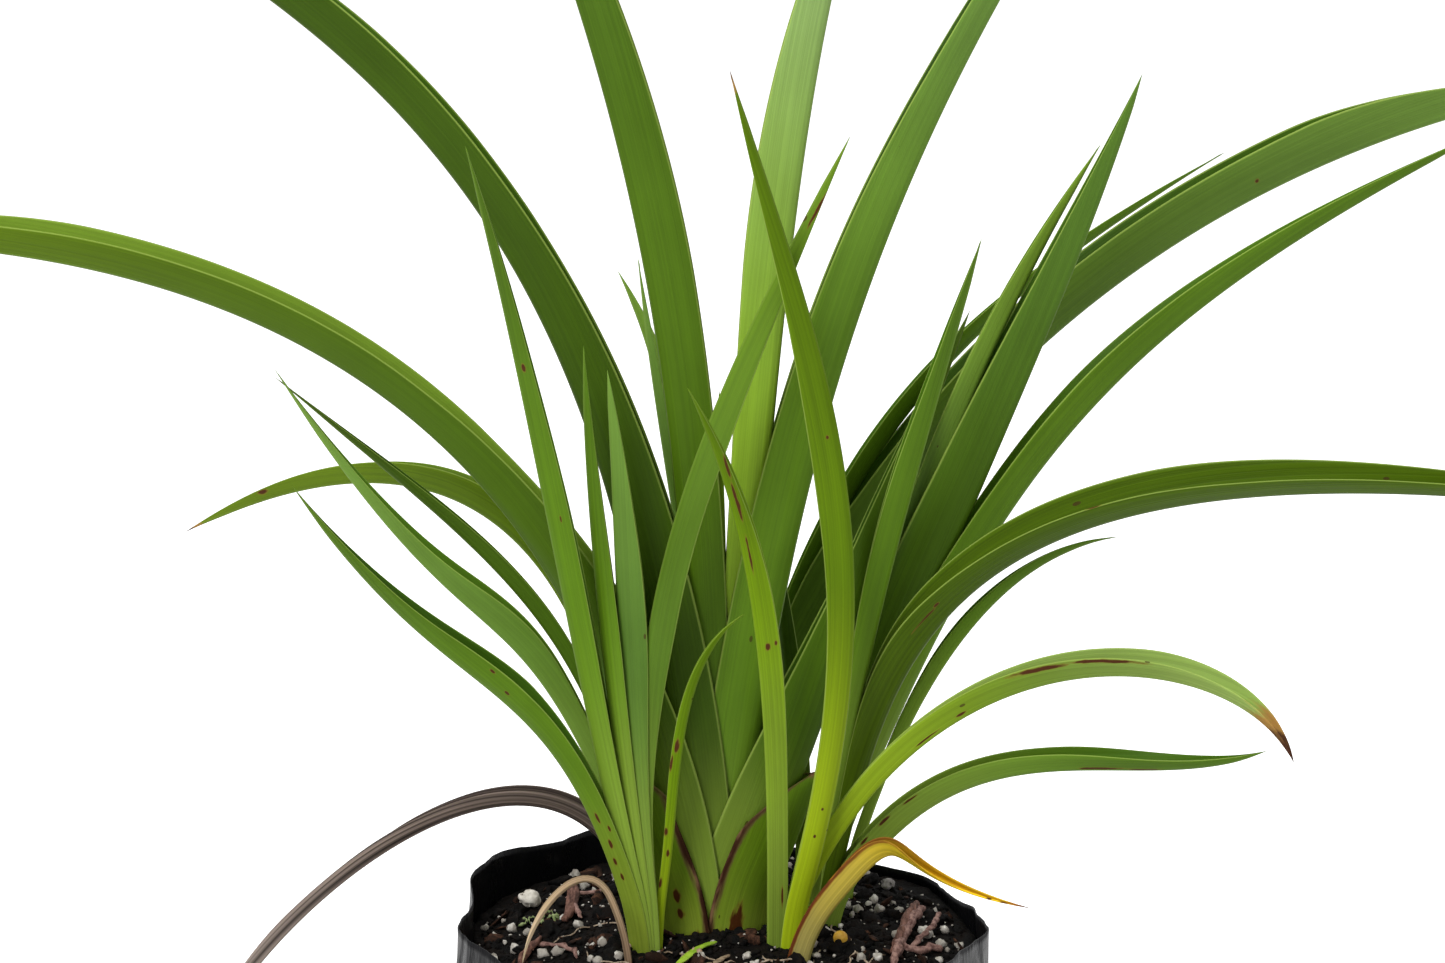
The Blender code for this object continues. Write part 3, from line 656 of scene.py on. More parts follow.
def blade_tree():
    """Sweeps a folded section with two faces, a rounded keel and thin edges along a rail."""
    tree, start = new_tree(
        "folded leaf blade", "Geometry", ("Rail", "Geometry", None), ("Columns", "Int", COLUMNS),
        ("Keel Thickness", "Float", 1.0 * MM), ("Blade Thickness", "Float", 0.6 * MM),
        ("Bow", "Float", 0.04), ("Waviness", "Float", 0.2 * MM),
        ("Wave Length", "Float", 30 * MM), ("Seed", "Float", 0.0), ("Finish", "Material", None),
        ("Blade", "Geometry", "out"))
    count = put(tree, "GeometryNodeAttributeDomainSize", {0: start["Rail"]}).outputs["Point Count"]
    sheet = put(tree, "GeometryNodeMeshGrid", {"Size X": 1.0, "Size Y": 1.0, "Vertices X": count,
                                               "Vertices Y": start["Columns"]}).outputs[0]
    index = put(tree, "GeometryNodeInputIndex").outputs[0]
    row = calc(tree, "DIVIDE", calc(tree, "ADD", index, 0.25), start["Columns"])
    row = calc(tree, "FLOOR", row)
    column = calc(tree, "SUBTRACT", index, times(tree, row, start["Columns"]))

    def from_rail(name, kind="FLOAT"):
        """What the rail holds for this row of the blade."""
        if name == "position":
            value = put(tree, "GeometryNodeInputPosition").outputs[0]
        else:
            value = put(tree, "GeometryNodeInputNamedAttribute", {"Name": name},
                        data_type=kind).outputs[0]
        return put(tree, "GeometryNodeSampleIndex", {"Geometry": start["Rail"], "Value": value,
                                                     "Index": row}, data_type=kind).outputs[0]

    def scaled(vector, size):
        return put(tree, "ShaderNodeVectorMath", {0: vector, "Scale": size},
                   operation="SCALE").outputs[0]

    def plus(first, second):
        return put(tree, "ShaderNodeVectorMath", {0: first, 1: second}).outputs[0]

    place, facing = from_rail("position", "FLOAT_VECTOR"), from_rail("facing", "FLOAT_VECTOR")
    across = from_rail("across", "FLOAT_VECTOR")
    flank, gap, spread = from_rail("flank"), from_rail("half_gap"), from_rail("spread")
    opened, along, body = from_rail("opened"), from_rail("along"), from_rail("body")

    # The columns go out along one flank, back inside it, and the same way round the other
    part = calc(tree, "DIVIDE", column, calc(tree, "SUBTRACT", start["Columns"], 1))
    middle = calc(tree, "ABSOLUTE", calc(tree, "MULTIPLY_ADD", part, 4.0, -2.0))
    signed = calc(tree, "SUBTRACT", 1.0, middle)
    hand = calc(tree, "SIGN", signed)
    inner = calc(tree, "GREATER_THAN", part, 0.5001)
    even = calc(tree, "ABSOLUTE", signed)
    swing = calc(tree, "SINE", times(tree, even, 2 * math.pi))
    edge = calc(tree, "MULTIPLY_ADD", swing, -0.7 / (2 * math.pi), even)

    # The section: a rounded keel, then flanks that spread and bow outwards
    out = times(tree, edge, flank)
    fade = calc(tree, "EXPONENT", times(tree, calc(tree, "DIVIDE", out, gap), -1.5))
    rounded = calc(tree, "SUBTRACT", 1.0, fade)
    shoulder = times(tree, gap, 0.5, rounded)
    straight = calc(tree, "SUBTRACT", out, shoulder)
    cosine, sine = calc(tree, "COSINE", spread), calc(tree, "SINE", spread)
    bulge = calc(tree, "SINE", times(tree, edge, math.pi))
    bulge = times(tree, bulge, flank, times(tree, start["Bow"], opened))
    depth = calc(tree, "MULTIPLY_ADD", cosine, straight, shoulder)
    width = calc(tree, "MULTIPLY_ADD", sine, straight, times(tree, gap, rounded))
    width = calc(tree, "ADD", width, bulge)
    point = plus(scaled(facing, times(tree, depth, body)),
                 scaled(across, times(tree, width, hand, body)))

    # The thickness, square to the section and thin at its edges, with a ripple along them
    side_share = ramp(tree, calc(tree, "DIVIDE", out, gap), 0.0, 2.0)
    back = calc(tree, "SUBTRACT", times(tree, side_share, calc(tree, "SUBTRACT", 1.0, sine)), 1.0)
    skin = plus(scaled(across, times(tree, cosine, side_share, hand)), scaled(facing, back))
    skin = put(tree, "ShaderNodeVectorMath", {0: skin}, operation="NORMALIZE").outputs[0]
    thick = ramp(tree, edge, 0.0, 0.3, start["Keel Thickness"], start["Blade Thickness"])
    thick = calc(tree, "MINIMUM", thick, times(tree, flank, 0.5))
    round_edge = calc(tree, "SQRT", calc(tree, "SUBTRACT", 1.0, calc(tree, "POWER", edge, 14.0)))
    thick = times(tree, thick, round_edge, body)
    face_side = calc(tree, "MULTIPLY_ADD", inner, -1.0, 0.5)
    spot = combine(tree, calc(tree, "DIVIDE", along, start["Wave Length"]),
                   times(tree, hand, 0.8), start["Seed"])
    ripple = calc(tree, "SUBTRACT", cloud(tree, spot, 1, 2), 0.5)
    ripple = times(tree, ripple, start["Waviness"], edge, times(tree, opened, body))
    point = plus(point, scaled(skin, calc(tree, "MULTIPLY_ADD", thick, face_side, ripple)))
    moved = put(tree, "GeometryNodeSetPosition", {"Geometry": sheet,
                                                  "Position": plus(place, point)})

    # What the skin needs to know of each point
    stored = put(tree, "GeometryNodeStoreNamedAttribute",
                 {"Geometry": moved.outputs[0], "Name": "leaf_place",
                  "Value": combine(tree, times(tree, out, hand), along, inner)},
                 data_type="FLOAT_VECTOR", domain="POINT")
    stored = put(tree, "GeometryNodeStoreNamedAttribute",
                 {"Geometry": stored.outputs[0], "Name": "leaf_edge", "Value": edge},
                 data_type="FLOAT", domain="POINT")
    joined = put(tree, "GeometryNodeMergeByDistance", {"Geometry": stored.outputs[0],
                                                       "Distance": 1e-6})
    real = put(tree, "GeometryNodeRealizeInstances", {"Geometry": joined.outputs[0]})
    done = put(tree, "GeometryNodeSetMaterial", {"Geometry": real.outputs[0],
                                                 "Material": start["Finish"]})
    put(tree, "NodeGroupOutput", {"Blade": done.outputs[0]})
    return tree


BLOOM = (0.19, 0.33, 0.08, 1)
PALE_MARGIN = (0.36, 0.48, 0.10, 1)
SPECK_BROWN = (0.055, 0.022, 0.008, 1)


def skin_group():
    """Leaf skin: a pale foot, veins and stripes along the blade, a waxy bloom, pale edges,
    a light keel, soft patches and small brown specks."""
    tree, start = new_tree(
        "leaf skin", "Shader", ("Place", "Vector", None), ("Edge", "Float", 0.0),
        ("Blade", "Color", (0.08, 0.17, 0.02, 1)), ("Foot", "Color", (0.3, 0.38, 0.09, 1)),
        ("Inner", "Color", (0.06, 0.15, 0.02, 1)), ("Top", "Color", (0.06, 0.12, 0.02, 1)),
        ("Foot Length", "Float", 0.08), ("Reach", "Float", 0.3), ("Stripe", "Float", 0.3),
        ("Bloom", "Float", 0.2), ("Specks", "Float", 0.2), ("Margin", "Float", 0.5),
        ("Seed", "Float", 0.0), ("Colour", "Color", "out"), ("Roughness", "Float", "out"),
        ("Relief", "Float", "out"))
    out, along, inner = put(tree, "ShaderNodeSeparateXYZ", {0: start["Place"]}).outputs

    def drawn_out(across_scale, along_scale, shift):
        """Place on the leaf, stretched along its veins and moved on by its seed."""
        return combine(tree, times(tree, out, across_scale), times(tree, along, along_scale),
                       calc(tree, "ADD", start["Seed"], shift))

    veins = cloud(tree, drawn_out(2300, 9, 0), 1, 1, 0.55)
    stripes = cloud(tree, drawn_out(900, 3.5, 3), 1, 2, 0.55)
    patches = cloud(tree, drawn_out(60, 22, 7), 1, 3, 0.55)
    foot = ramp(tree, calc(tree, "MULTIPLY_ADD", patches, 0.03, along),
                start["Foot Length"], -0.012)
    high = ramp(tree, calc(tree, "DIVIDE", along, start["Reach"]), 0.35, 1.0)
    colour = blend(tree, high, start["Blade"], start["Top"])
    colour = blend(tree, inner, colour, start["Inner"])
    colour = blend(tree, foot, colour, start["Foot"])
    tone = calc(tree, "MULTIPLY_ADD", calc(tree, "SUBTRACT", patches, 0.5), 0.45, 1.0)
    streak = calc(tree, "SUBTRACT", ramp(tree, stripes, 0.36, 0.64), 0.5)
    line = calc(tree, "SUBTRACT", ramp(tree, veins, 0.35, 0.65), 0.5)
    line = times(tree, line, calc(tree, "MULTIPLY_ADD", start["Stripe"], 0.35, 0.10))
    tone = calc(tree, "ADD", tone, calc(tree, "ADD", times(tree, streak, start["Stripe"]), line))
    colour = blend(tree, 1.0, colour, combine(tree, tone, tone, tone), "MULTIPLY")
    bloom = times(tree, start["Bloom"], ramp(tree, patches, 0.3, 0.65, 0.55, 1.0),
                  calc(tree, "SUBTRACT", 1.0, times(tree, inner, 0.6)))
    colour = blend(tree, bloom, colour, BLOOM)
    pale = times(tree, ramp(tree, start["Edge"], 0.95, 0.985), start["Margin"])
    keel = times(tree, ramp(tree, calc(tree, "ABSOLUTE", out), 0.6 * MM, 0.1 * MM),
                 times(tree, start["Margin"], 0.28))
    colour = blend(tree, calc(tree, "MAXIMUM", pale, keel), colour, PALE_MARGIN)
    dots = put(tree, "ShaderNodeTexVoronoi", {"Vector": drawn_out(260, 120, 21), "Scale": 1.0})
    chance = put(tree, "ShaderNodeSeparateColor", {0: dots.outputs["Color"]}).outputs
    chosen = calc(tree, "GREATER_THAN", start["Specks"], chance[0])
    size = calc(tree, "MULTIPLY_ADD", chance[1], 0.12, 0.04)
    dot = times(tree, chosen, calc(tree, "LESS_THAN", dots.outputs["Distance"], size))
    colour = blend(tree, times(tree, dot, 0.75), colour, SPECK_BROWN)
    rough = calc(tree, "MULTIPLY_ADD", bloom, 0.22, ramp(tree, patches, 0.3, 0.7, 0.40, 0.50))
    relief = calc(tree, "MULTIPLY_ADD", stripes, 1.4, veins)
    put(tree, "NodeGroupOutput", {"Colour": colour, "Roughness": rough, "Relief": relief})
    return tree


def mark_group():
    """A ragged lens-shaped mark on the skin, longer along the veins than across."""
    tree, start = new_tree(
        "leaf mark", "Shader", ("Place", "Vector", None), ("Along", "Float", 0.1),
        ("Across", "Float", 0.0), ("Length", "Float", 0.01), ("Width", "Float", 0.002),
        ("Ragged", "Float", 1.3), ("Dark", "Float", "out"), ("Halo", "Float", "out"))
    out, along, _ = put(tree, "ShaderNodeSeparateXYZ", {0: start["Place"]}).outputs
    x = calc(tree, "DIVIDE", calc(tree, "SUBTRACT", out, start["Across"]), start["Width"])
    y = calc(tree, "DIVIDE", calc(tree, "SUBTRACT", along, start["Along"]), start["Length"])
    torn = cloud(tree, combine(tree, times(tree, out, 900), times(tree, along, 220)), 1, 3)
    torn = calc(tree, "SUBTRACT", torn, 0.5)
    far = calc(tree, "SQRT", calc(tree, "ADD", times(tree, x, x), times(tree, y, y)))
    far = calc(tree, "ADD", far, times(tree, torn, start["Ragged"]))
    put(tree, "NodeGroupOutput", {"Dark": ramp(tree, far, 0.95, 0.6),
                                  "Halo": ramp(tree, far, 1.15, 0.8, 0.0, 0.55)})
    return tree


def dry_group():
    """Dried edges low on a sheath, or a dried tip: brown, fading through tan to green."""
    tree, start = new_tree(
        "dried part", "Shader", ("Place", "Vector", None), ("Edge", "Float", 0.0),
        ("Edge Depth", "Float", 0.0), ("Edge Top", "Float", 0.05), ("Tip Start", "Float", 1.0),
        ("Tip Length", "Float", 0.01), ("Dark", "Float", "out"), ("Tan", "Float", "out"))
    out, along, _ = put(tree, "ShaderNodeSeparateXYZ", {0: start["Place"]}).outputs
    torn = cloud(tree, combine(tree, times(tree, out, 420), times(tree, along, 90)), 1, 4)
    torn = calc(tree, "SUBTRACT", torn, 0.5)
    depth = calc(tree, "DIVIDE", calc(tree, "SUBTRACT", start["Edge"], 1.0), start["Edge Depth"])
    low = ramp(tree, along, start["Edge Top"], 0.0)
    rim = times(tree, ramp(tree, calc(tree, "ADD", depth, torn), -1.0, -0.35), low)
    tip = calc(tree, "SUBTRACT", along, start["Tip Start"])
    tip = calc(tree, "DIVIDE", tip, start["Tip Length"])
    tip = calc(tree, "MULTIPLY_ADD", torn, 0.9, tip)
    put(tree, "NodeGroupOutput", {
        "Dark": calc(tree, "MAXIMUM", times(tree, rim, ramp(tree, torn, -0.22, 0.0)),
                     ramp(tree, tip, 0.45, 0.8)),
        "Tan": calc(tree, "MAXIMUM", rim, ramp(tree, tip, 0.0, 0.35))})
    return tree


SKIN, MARK, DRIED, BLADE = skin_group(), mark_group(), dry_group(), blade_tree()
MARK_BROWN = (0.075, 0.023, 0.006, 1)
MARK_TAN = (0.22, 0.15, 0.02, 1)

# Finishes: colour of the blade, its foot, its inner face and its upper end, length of the
# pale foot (mm), strength of the stripes, the bloom, the specks and the pale margin
Finish = namedtuple("Finish", "blade foot inner top foot_length stripe bloom specks margin",
                    defaults=(0.5,))
PALE_FOOT = (0.25, 0.36, 0.045)
EMERALD = Finish((0.090, 0.185, 0.004), PALE_FOOT, (0.062, 0.150, 0.002), (0.070, 0.145, 0.006),
                 110, 0.10, 0.05, 0.03)
# Painted shade: a darker copy of the emerald finish, for leaves that stand in shade.
SHADED_GREEN = Finish((0.056, 0.118, 0.003), PALE_FOOT, (0.036, 0.090, 0.001), (0.038, 0.076, 0.003),
              70, 0.08, 0.02, 0.03)
GLAUCOUS = Finish((0.105, 0.205, 0.014), PALE_FOOT, (0.070, 0.165, 0.004), (0.125, 0.230, 0.030),
                  90, 0.08, 0.22, 0.03)
# Lime: the lighter green of young leaves, together with painted backlight, the glow of light
# through the blade, laid into the colour.
LIME_AND_BACKLIGHT = Finish((0.118, 0.215, 0.001), (0.32, 0.44, 0.010), (0.12, 0.22, 0.001),
              (0.085, 0.160, 0.001), 120, 0.15, 0.01, 0.05)
SHEATH = Finish((0.110, 0.20, 0.004), (0.25, 0.33, 0.030), (0.2, 0.3, 0.02),
                (0.11, 0.21, 0.006), 24, 0.12, 0.05, 0.12)


def laid(tree, pattern, **values):
    """One of the shared patterns laid into a material with its own values."""
    node = put(tree, "ShaderNodeGroup", node_tree=pattern)
    for name, value in values.items():
        socket = node.inputs[name.replace("_", " ")]
        if isinstance(value, bpy.types.NodeSocket):
            tree.links.new(value, socket)
        else:
            socket.default_value = value
    return node.outputs


def leaf_material(leaf, finish, reach, marks, dried, seed):
    """The skin of one leaf, with its marks and dried parts laid over it. A mark is (height
    above the throat, distance from the keel, half length, half width) in mm. A dried part
    is (depth and top of its edge, length of its tip, dark colour, tan colour)."""
    material, tree, shader = new_material(leaf.name.replace("_", " ") + " skin",
                                          Specular_IOR_Level=0.08, Subsurface_Weight=0.06,
                                          Subsurface_Radius=(0.35, 0.6, 0.1),
                                          Subsurface_Scale=1.2 * MM)
    place = put(tree, "ShaderNodeAttribute", attribute_name="leaf_place").outputs["Vector"]
    edge = put(tree, "ShaderNodeAttribute", attribute_name="leaf_edge").outputs["Fac"]
    skin = laid(tree, SKIN, Place=place, Edge=edge, Blade=(*finish.blade, 1),
                Foot=(*finish.foot, 1), Inner=(*finish.inner, 1), Top=(*finish.top, 1),
                Foot_Length=finish.foot_length * MM, Reach=reach, Stripe=finish.stripe,
                Bloom=finish.bloom, Specks=finish.specks, Margin=finish.margin, Seed=seed * 5.3)
    colour, rough = skin["Colour"], skin["Roughness"]
    for along, across, length, width in marks:
        mark = laid(tree, MARK, Place=place, Along=along * MM, Across=across * MM,
                    Length=length * MM, Width=width * MM)
        colour = blend(tree, mark["Halo"], colour, MARK_TAN)
        colour = blend(tree, mark["Dark"], colour, MARK_BROWN)
    if dried:
        edge_depth, edge_top, tip_length, dark, tan = dried
        dry = laid(tree, DRIED, Place=place, Edge=edge, Edge_Depth=max(edge_depth, 0.001),
                   Edge_Top=edge_top * MM, Tip_Start=reach - tip_length * MM,
                   Tip_Length=max(tip_length, 1) * MM)
        colour = blend(tree, dry["Tan"], colour, (*tan, 1))
        colour = blend(tree, dry["Dark"], colour, (*dark, 1))
        rough = calc(tree, "MULTIPLY_ADD", dry["Tan"], 0.3, rough)
    cover(tree, shader, colour, rough, skin["Relief"], 0.5, 0.12 * MM)
    return material


def grow(row, finish, marks=(), dried=None, bow=0.04, waviness=0.5):
    """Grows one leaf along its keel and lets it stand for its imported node."""
    leaf = Leaf(*row)
    rail, reach = leaf_rail(leaf)
    seed = sum(map(ord, leaf.name)) % 97
    piece = new_object(leaf.name + "_blade", rail)
    modifier = piece.modifiers.new("blade", "NODES")
    modifier.node_group = BLADE
    set_inputs(modifier, Columns=COLUMNS, Keel_Thickness=KEEL_SHARE * BLADE_THICKNESS,
               Blade_Thickness=BLADE_THICKNESS, Bow=bow, Waviness=waviness * MM,
               Seed=float(seed), Finish=leaf_material(leaf, finish, reach, marks, dried, seed))
    settle_mesh(piece)
    close_mesh(piece)
    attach(piece, "root")
    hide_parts(leaf.name)


# Main fan, in the middle: four upright blades, two arching ones, the young heart leaf,
# and two short outer sheaths whose edges have dried brown where they cross in front.
BROWN_EDGE = (0.040, 0.014, 0.006)
TAN_EDGE = (0.22, 0.12, 0.06)
BROWN_TIP = (0.06, 0.022, 0.012)
TAN_TIP = (0.36, 0.20, 0.05)

grow(("heart_leaf", "main", -1, 0, (-1, 3, 326),
      1, 0.35, 2, 0.35, 20, 6, 200, 0, 0.6, 0),
     LIME_AND_BACKLIGHT)
grow(("centre_leaf", "main", 1, 1, (48, 12, 505),
      6, 0.45, 18, 0.3, 20, 16, 220, 20, 0.5, 0),
     EMERALD._replace(blade=(0.20, 0.35, 0.020), foot=(0.25, 0.40, 0.020), top=(0.24, 0.36, 0.13),
                      foot_length=300))
grow(("upright_left_leaf", "main", -1, 2, (-87, 24, 560),
      1, 0.48, 22, 0.33, 20, 15, 220, 24, 0.6, 0),
     SHADED_GREEN._replace(blade=(0.066, 0.135, 0.004), top=(0.052, 0.108, 0.010), foot_length=50))
grow(("upright_right_leaf", "main", 1, 3, (127, 8, 518),
      6, 0.46, 34, 0.32, 20, 13, 160, 26, 0.6, 0),
     EMERALD._replace(blade=(0.098, 0.20, 0.006), inner=(0.030, 0.075, 0.005),
                      top=(0.14, 0.25, 0.05), foot_length=70, bloom=0.08))
grow(("back_left_arch", "main", -1, 4, (-247, 72, 498),
      -4, 0.55, 66, 0.37, 20, 13.5, 100, 28, 0.4, 0),
     SHADED_GREEN._replace(blade=(0.040, 0.084, 0.002), top=(0.036, 0.074, 0.003)))
grow(("dark_right_leaf", "main", 1, 5, (75, 22, 346),
      20, 0.35, 22, 0.3, 20, 11, 40, 20, 0.6, 0),
     SHADED_GREEN)
grow(("far_left_arch", "main", -1, 6, (-294, -34, 377),
      -9, 0.5, 91, 0.35, 20, 12, 55, 30, 0.3, 0),
     SHADED_GREEN._replace(blade=(0.058, 0.118, 0.002), top=(0.120, 0.205, 0.004),
                   inner=(0.15, 0.25, 0.02)))
grow(("right_sheath", "main", 1, 7, (31, 2, 206),
      24, 0.3, 24, 0.3, 18.5, 18, 200, 0, 0.8, 0),
     SHEATH,
     marks=((-17, 10, 7, 2.2), (-22, 15, 4, 3)),
     dried=(0.14, 60, 4, BROWN_EDGE, TAN_EDGE))
grow(("left_sheath", "main", -1, 8, (-38, 2, 214),
      -22, 0.3, -6, 0.3, 20, 18, 200, 0, 0.5, 0),
     SHEATH,
     marks=((-8, -12, 2.2, 1.2), (-13, -12, 1.6, 1.4), (-21, -16, 3, 3)),
     dried=(0.14, 60, 4, BROWN_EDGE, TAN_EDGE))


# Left front fan: a small spotted inner leaf, one that crosses the middle, an upright pair,
# a narrow upright leaf, and a low one with brown specks at its foot.
grow(("small_inner_leaf", "left_front", 1, 0, (7, -27, 265),
      8, 0.35, 50, 0.3, 20, 4, 30, 14, 0.7, 0),
     LIME_AND_BACKLIGHT._replace(foot_length=60, specks=0.3),
     marks=((46, 1.5, 2.5, 0.8), (40, 2.5, 3, 0.5), (18, 2, 1.6, 0.6), (11, 1, 1.4, 0.5),
            (1, 2, 2, 0.5)))
grow(("crossing_leaf", "left_front", -1, 1, (37, -17, 406),
      -5, 0.36, 28, 0.42, 20, 8, 35, 22, 0.4, 0),
     GLAUCOUS._replace(blade=(0.068, 0.135, 0.006), top=(0.105, 0.195, 0.006), bloom=0.10),
     marks=((220, -1.8, 7, 0.5),))
grow(("upright_pair_front", "left_front", -1, 2, (-34, -10, 335),
      -5.5, 0.35, 3, 0.3, 5.5, 9.5, 45, 18, 0.6, 0),
     GLAUCOUS._replace(blade=(0.062, 0.135, 0.012), inner=(0.050, 0.125, 0.003), bloom=0.14))
grow(("upright_pair_back", "left_front", -1, 3, (-41, -9, 342),
      -7, 0.35, 0, 0.3, 5, 6, 60, 20, 0.6, 0),
     EMERALD,
     marks=((147, -4.2, 9, 0.6),))
grow(("narrow_left_leaf", "left_front", -1, 4, (-72, -48, 408),
      -12, 0.35, 11, 0.3, 5.5, 8, 80, 22, 0.7, 0),
     EMERALD,
     marks=((169, -2.3, 1.6, 0.9), (120, -4, 1.2, 0.3)))
grow(("low_left_leaf", "left_front", -1, 5, (-122, -60, 313),
      -17, 0.45, 26, 0.54, 6, 9.5, 60, 30, 0.6, 0),
     EMERALD._replace(inner=(0.045, 0.12, 0.003), foot=(0.27, 0.36, 0.035), foot_length=60),
     marks=((24, -2.5, 2.2, 0.5), (20, -4.5, 1.2, 0.4), (15, -3, 1.8, 0.6), (9, -2.4, 1.6, 0.6),
            (4, -2.8, 1.2, 0.5), (83, -6.5, 1.2, 0.5), (74, -4, 1.0, 0.5)))


# Left back fan and the little fan behind it: a thin leaf darkened by painted shade, a broad
# one with a waxy bloom, a dead leaf that hangs over the rim, dry, grey and shrivelled, and
# one that arches over to a dried brown tip.
DEAD_GREY = Finish((0.15, 0.115, 0.095), (0.13, 0.10, 0.085), (0.10, 0.075, 0.065),
                   (0.19, 0.155, 0.135), 30, 1.1, 0, 0.3, 0)

grow(("thin_left_leaf", "left_back", -1, 0, (-137, 27, 324),
      -13, 0.42, 50, 0.5, 20, 6, 95, 30, 0.6, 0),
     SHADED_GREEN)
grow(("glaucous_left_leaf", "left_back", -1, 1, (-135, 10, 331),
      -20.6, 0.55, 30, 0.66, 20, 11, 55, 30, 0.7, 0),
     GLAUCOUS)
grow(("grey_dead_leaf", "left_back", -1, 2, (-160, -30, 122),
      -36, 0.39, 158, 0.2, 6, 4, 30, 36, 0.3, 50),
     DEAD_GREY,
     bow=0.12, waviness=3.6)
grow(("drooping_left_leaf", "little_left", -1, 0, (-174, 78, 260),
      -6, 0.7, 122, 0.5, 20, 9, 30, 30, 0.5, 0),
     LIME_AND_BACKLIGHT._replace(blade=(0.115, 0.2, 0.006), top=(0.13, 0.21, 0.008)),
     marks=((193, -2.5, 2.2, 1.0),),
     dried=(0, 20, 11, BROWN_TIP, TAN_TIP))


# Right front fans: a lime leaf, its colour partly painted backlight, a yellow-green leaf with a
# brown streak, the low arching leaf whose hooked tip has dried brown, and a small dying yellow
# leaf in front of them.
YELLOW = Finish((0.72, 0.52, 0.014), (0.34, 0.30, 0.10), (0.60, 0.36, 0.01),
                (0.86, 0.56, 0.008), 56, 0.2, 0, 0.2, 0)

grow(("yellow_green_leaf", "right_front", -1, 0, (-10, -54, 340),
      0, 0.4, 21, 0.3, 6, 8, 60, 26, 0.7, 0),
     LIME_AND_BACKLIGHT._replace(blade=(0.165, 0.285, 0.002), foot=(0.20, 0.29, 0.035)),
     marks=((142, -2.5, 6, 0.5), (129, -2.3, 9, 0.6), (110, -2.1, 7, 0.4), (78, -3, 1.5, 0.9),
            (79, -5.6, 1.1, 0.6), (-3, -4.2, 4, 0.4)))
grow(("lime_front_leaf", "right_front", 1, 1, (2, -38, 428),
      14, 0.45, 17, 0.35, 6.5, 10, 110, 26, 0.6, 0),
     LIME_AND_BACKLIGHT._replace(blade=(0.096, 0.175, 0.001), foot=(0.38, 0.50, 0.010)),
     marks=((145, 3, 0.9, 0.6), (26, 2.6, 0.6, 0.4), (17, 3.2, 0.6, 0.4)),
     dried=(0, 20, 8, BROWN_TIP, TAN_TIP))
grow(("brown_tipped_leaf", "low_right", 1, 0, (166, -55, 228),
      25, 0.62, 156, 0.15, 6, 8, 20, 30, 0.4, 0),
     LIME_AND_BACKLIGHT._replace(blade=(0.14, 0.235, 0.012), inner=(0.26, 0.38, 0.08), top=(0.30, 0.42, 0.11),
                   stripe=0.12),
     marks=((98, 6.6, 9, 0.9), (118, 7.0, 12, 0.8), (71, 1.6, 1.8, 0.5), (58, 1.2, 5, 0.25)),
     dried=(0, 20, 26, BROWN_TIP, TAN_TIP))
grow(("yellow_leaf", "yellow", 1, 0, (91, -58, 184),
      38, 0.57, 87, 0.71, 6.5, 5, 15, 26, 0.6, 25),
     YELLOW,
     marks=((66, 1.6, 3, 1.4), (61, 1.6, 1, 0.8)),
     dried=(0.2, 62, 10, (0.13, 0.035, 0.01), (0.42, 0.17, 0.015)))


# Right back fan and the little fan behind it: a large pointed leaf, a light leaf, a long
# arching leaf and the small leaves that stand behind them.
grow(("light_right_leaf", "right_back", 1, 0, (113, 20, 397),
      12, 0.35, 30, 0.3, 20, 9, 150, 14, 0.6, 0),
     EMERALD._replace(blade=(0.13, 0.235, 0.03), top=(0.15, 0.26, 0.02)))
grow(("hidden_back_leaf", "right_back", -1, 1, (14, 24, 286),
      -2, 0.35, 4, 0.3, 20, 7, 60, 14, 0.7, 0),
     SHADED_GREEN)
grow(("large_pointed_leaf", "right_back", 1, 2, (124, 14, 419),
      18, 0.4, 15, 0.3, 20, 18, 30, 18, 0.7, 0),
     SHADED_GREEN._replace(top=(0.085, 0.175, 0.02), inner=(0.05, 0.12, 0.006)))
grow(("right_arch", "right_back", 1, 3, (238, 64, 394),
      20, 0.47, 66, 0.42, 20, 10.5, 30, 28, 0.5, 0),
     EMERALD)
grow(("low_back_leaf", "little_right", 1, 0, (126, 62, 263),
      17, 0.4, 95, 0.34, 20, 5, 15, 28, 0.6, 0),
     EMERALD)


# Far right fan: a pointed leaf, the long striped arch with a brown scratch on its flank,
# and the lowest leaf, which arches out over the rim.
grow(("pointed_leaf", "far_right", 1, 0, (74, -34, 379),
      6, 0.34, 10, 0.3, 20, 10, 90, 28, 0.7, 0),
     EMERALD)
grow(("striped_right_arch", "far_right", 1, 1, (296, -84, 305),
      12, 0.26, 95, 0.75, 20, 11.5, 60, 34, 0.35, 0),
     LIME_AND_BACKLIGHT._replace(blade=(0.056, 0.106, 0.001), foot=(0.07, 0.12, 0.003), top=(0.060, 0.112, 0.001),
                  inner=(0.062, 0.116, 0.001), stripe=0.2),
     marks=((86, 6.5, 6, 0.4), (92, 7.2, 1.2, 0.7), (150, 11.6, 3, 0.5), (176, 11.6, 4, 0.5)))
grow(("lowest_right_leaf", "far_right", 1, 2, (164, -18, 219),
      36, 0.48, 56, 0.33, 20, 7, 10, 34, 0.5, 0),
     EMERALD._replace(blade=(0.10, 0.2, 0.014)),
     marks=((84, 1.2, 8, 0.45), (97, 0.8, 6, 0.3), (17, 6.6, 2.5, 0.5), (9, 6.6, 2, 0.5),
            (26, 6.6, 3, 0.35)))


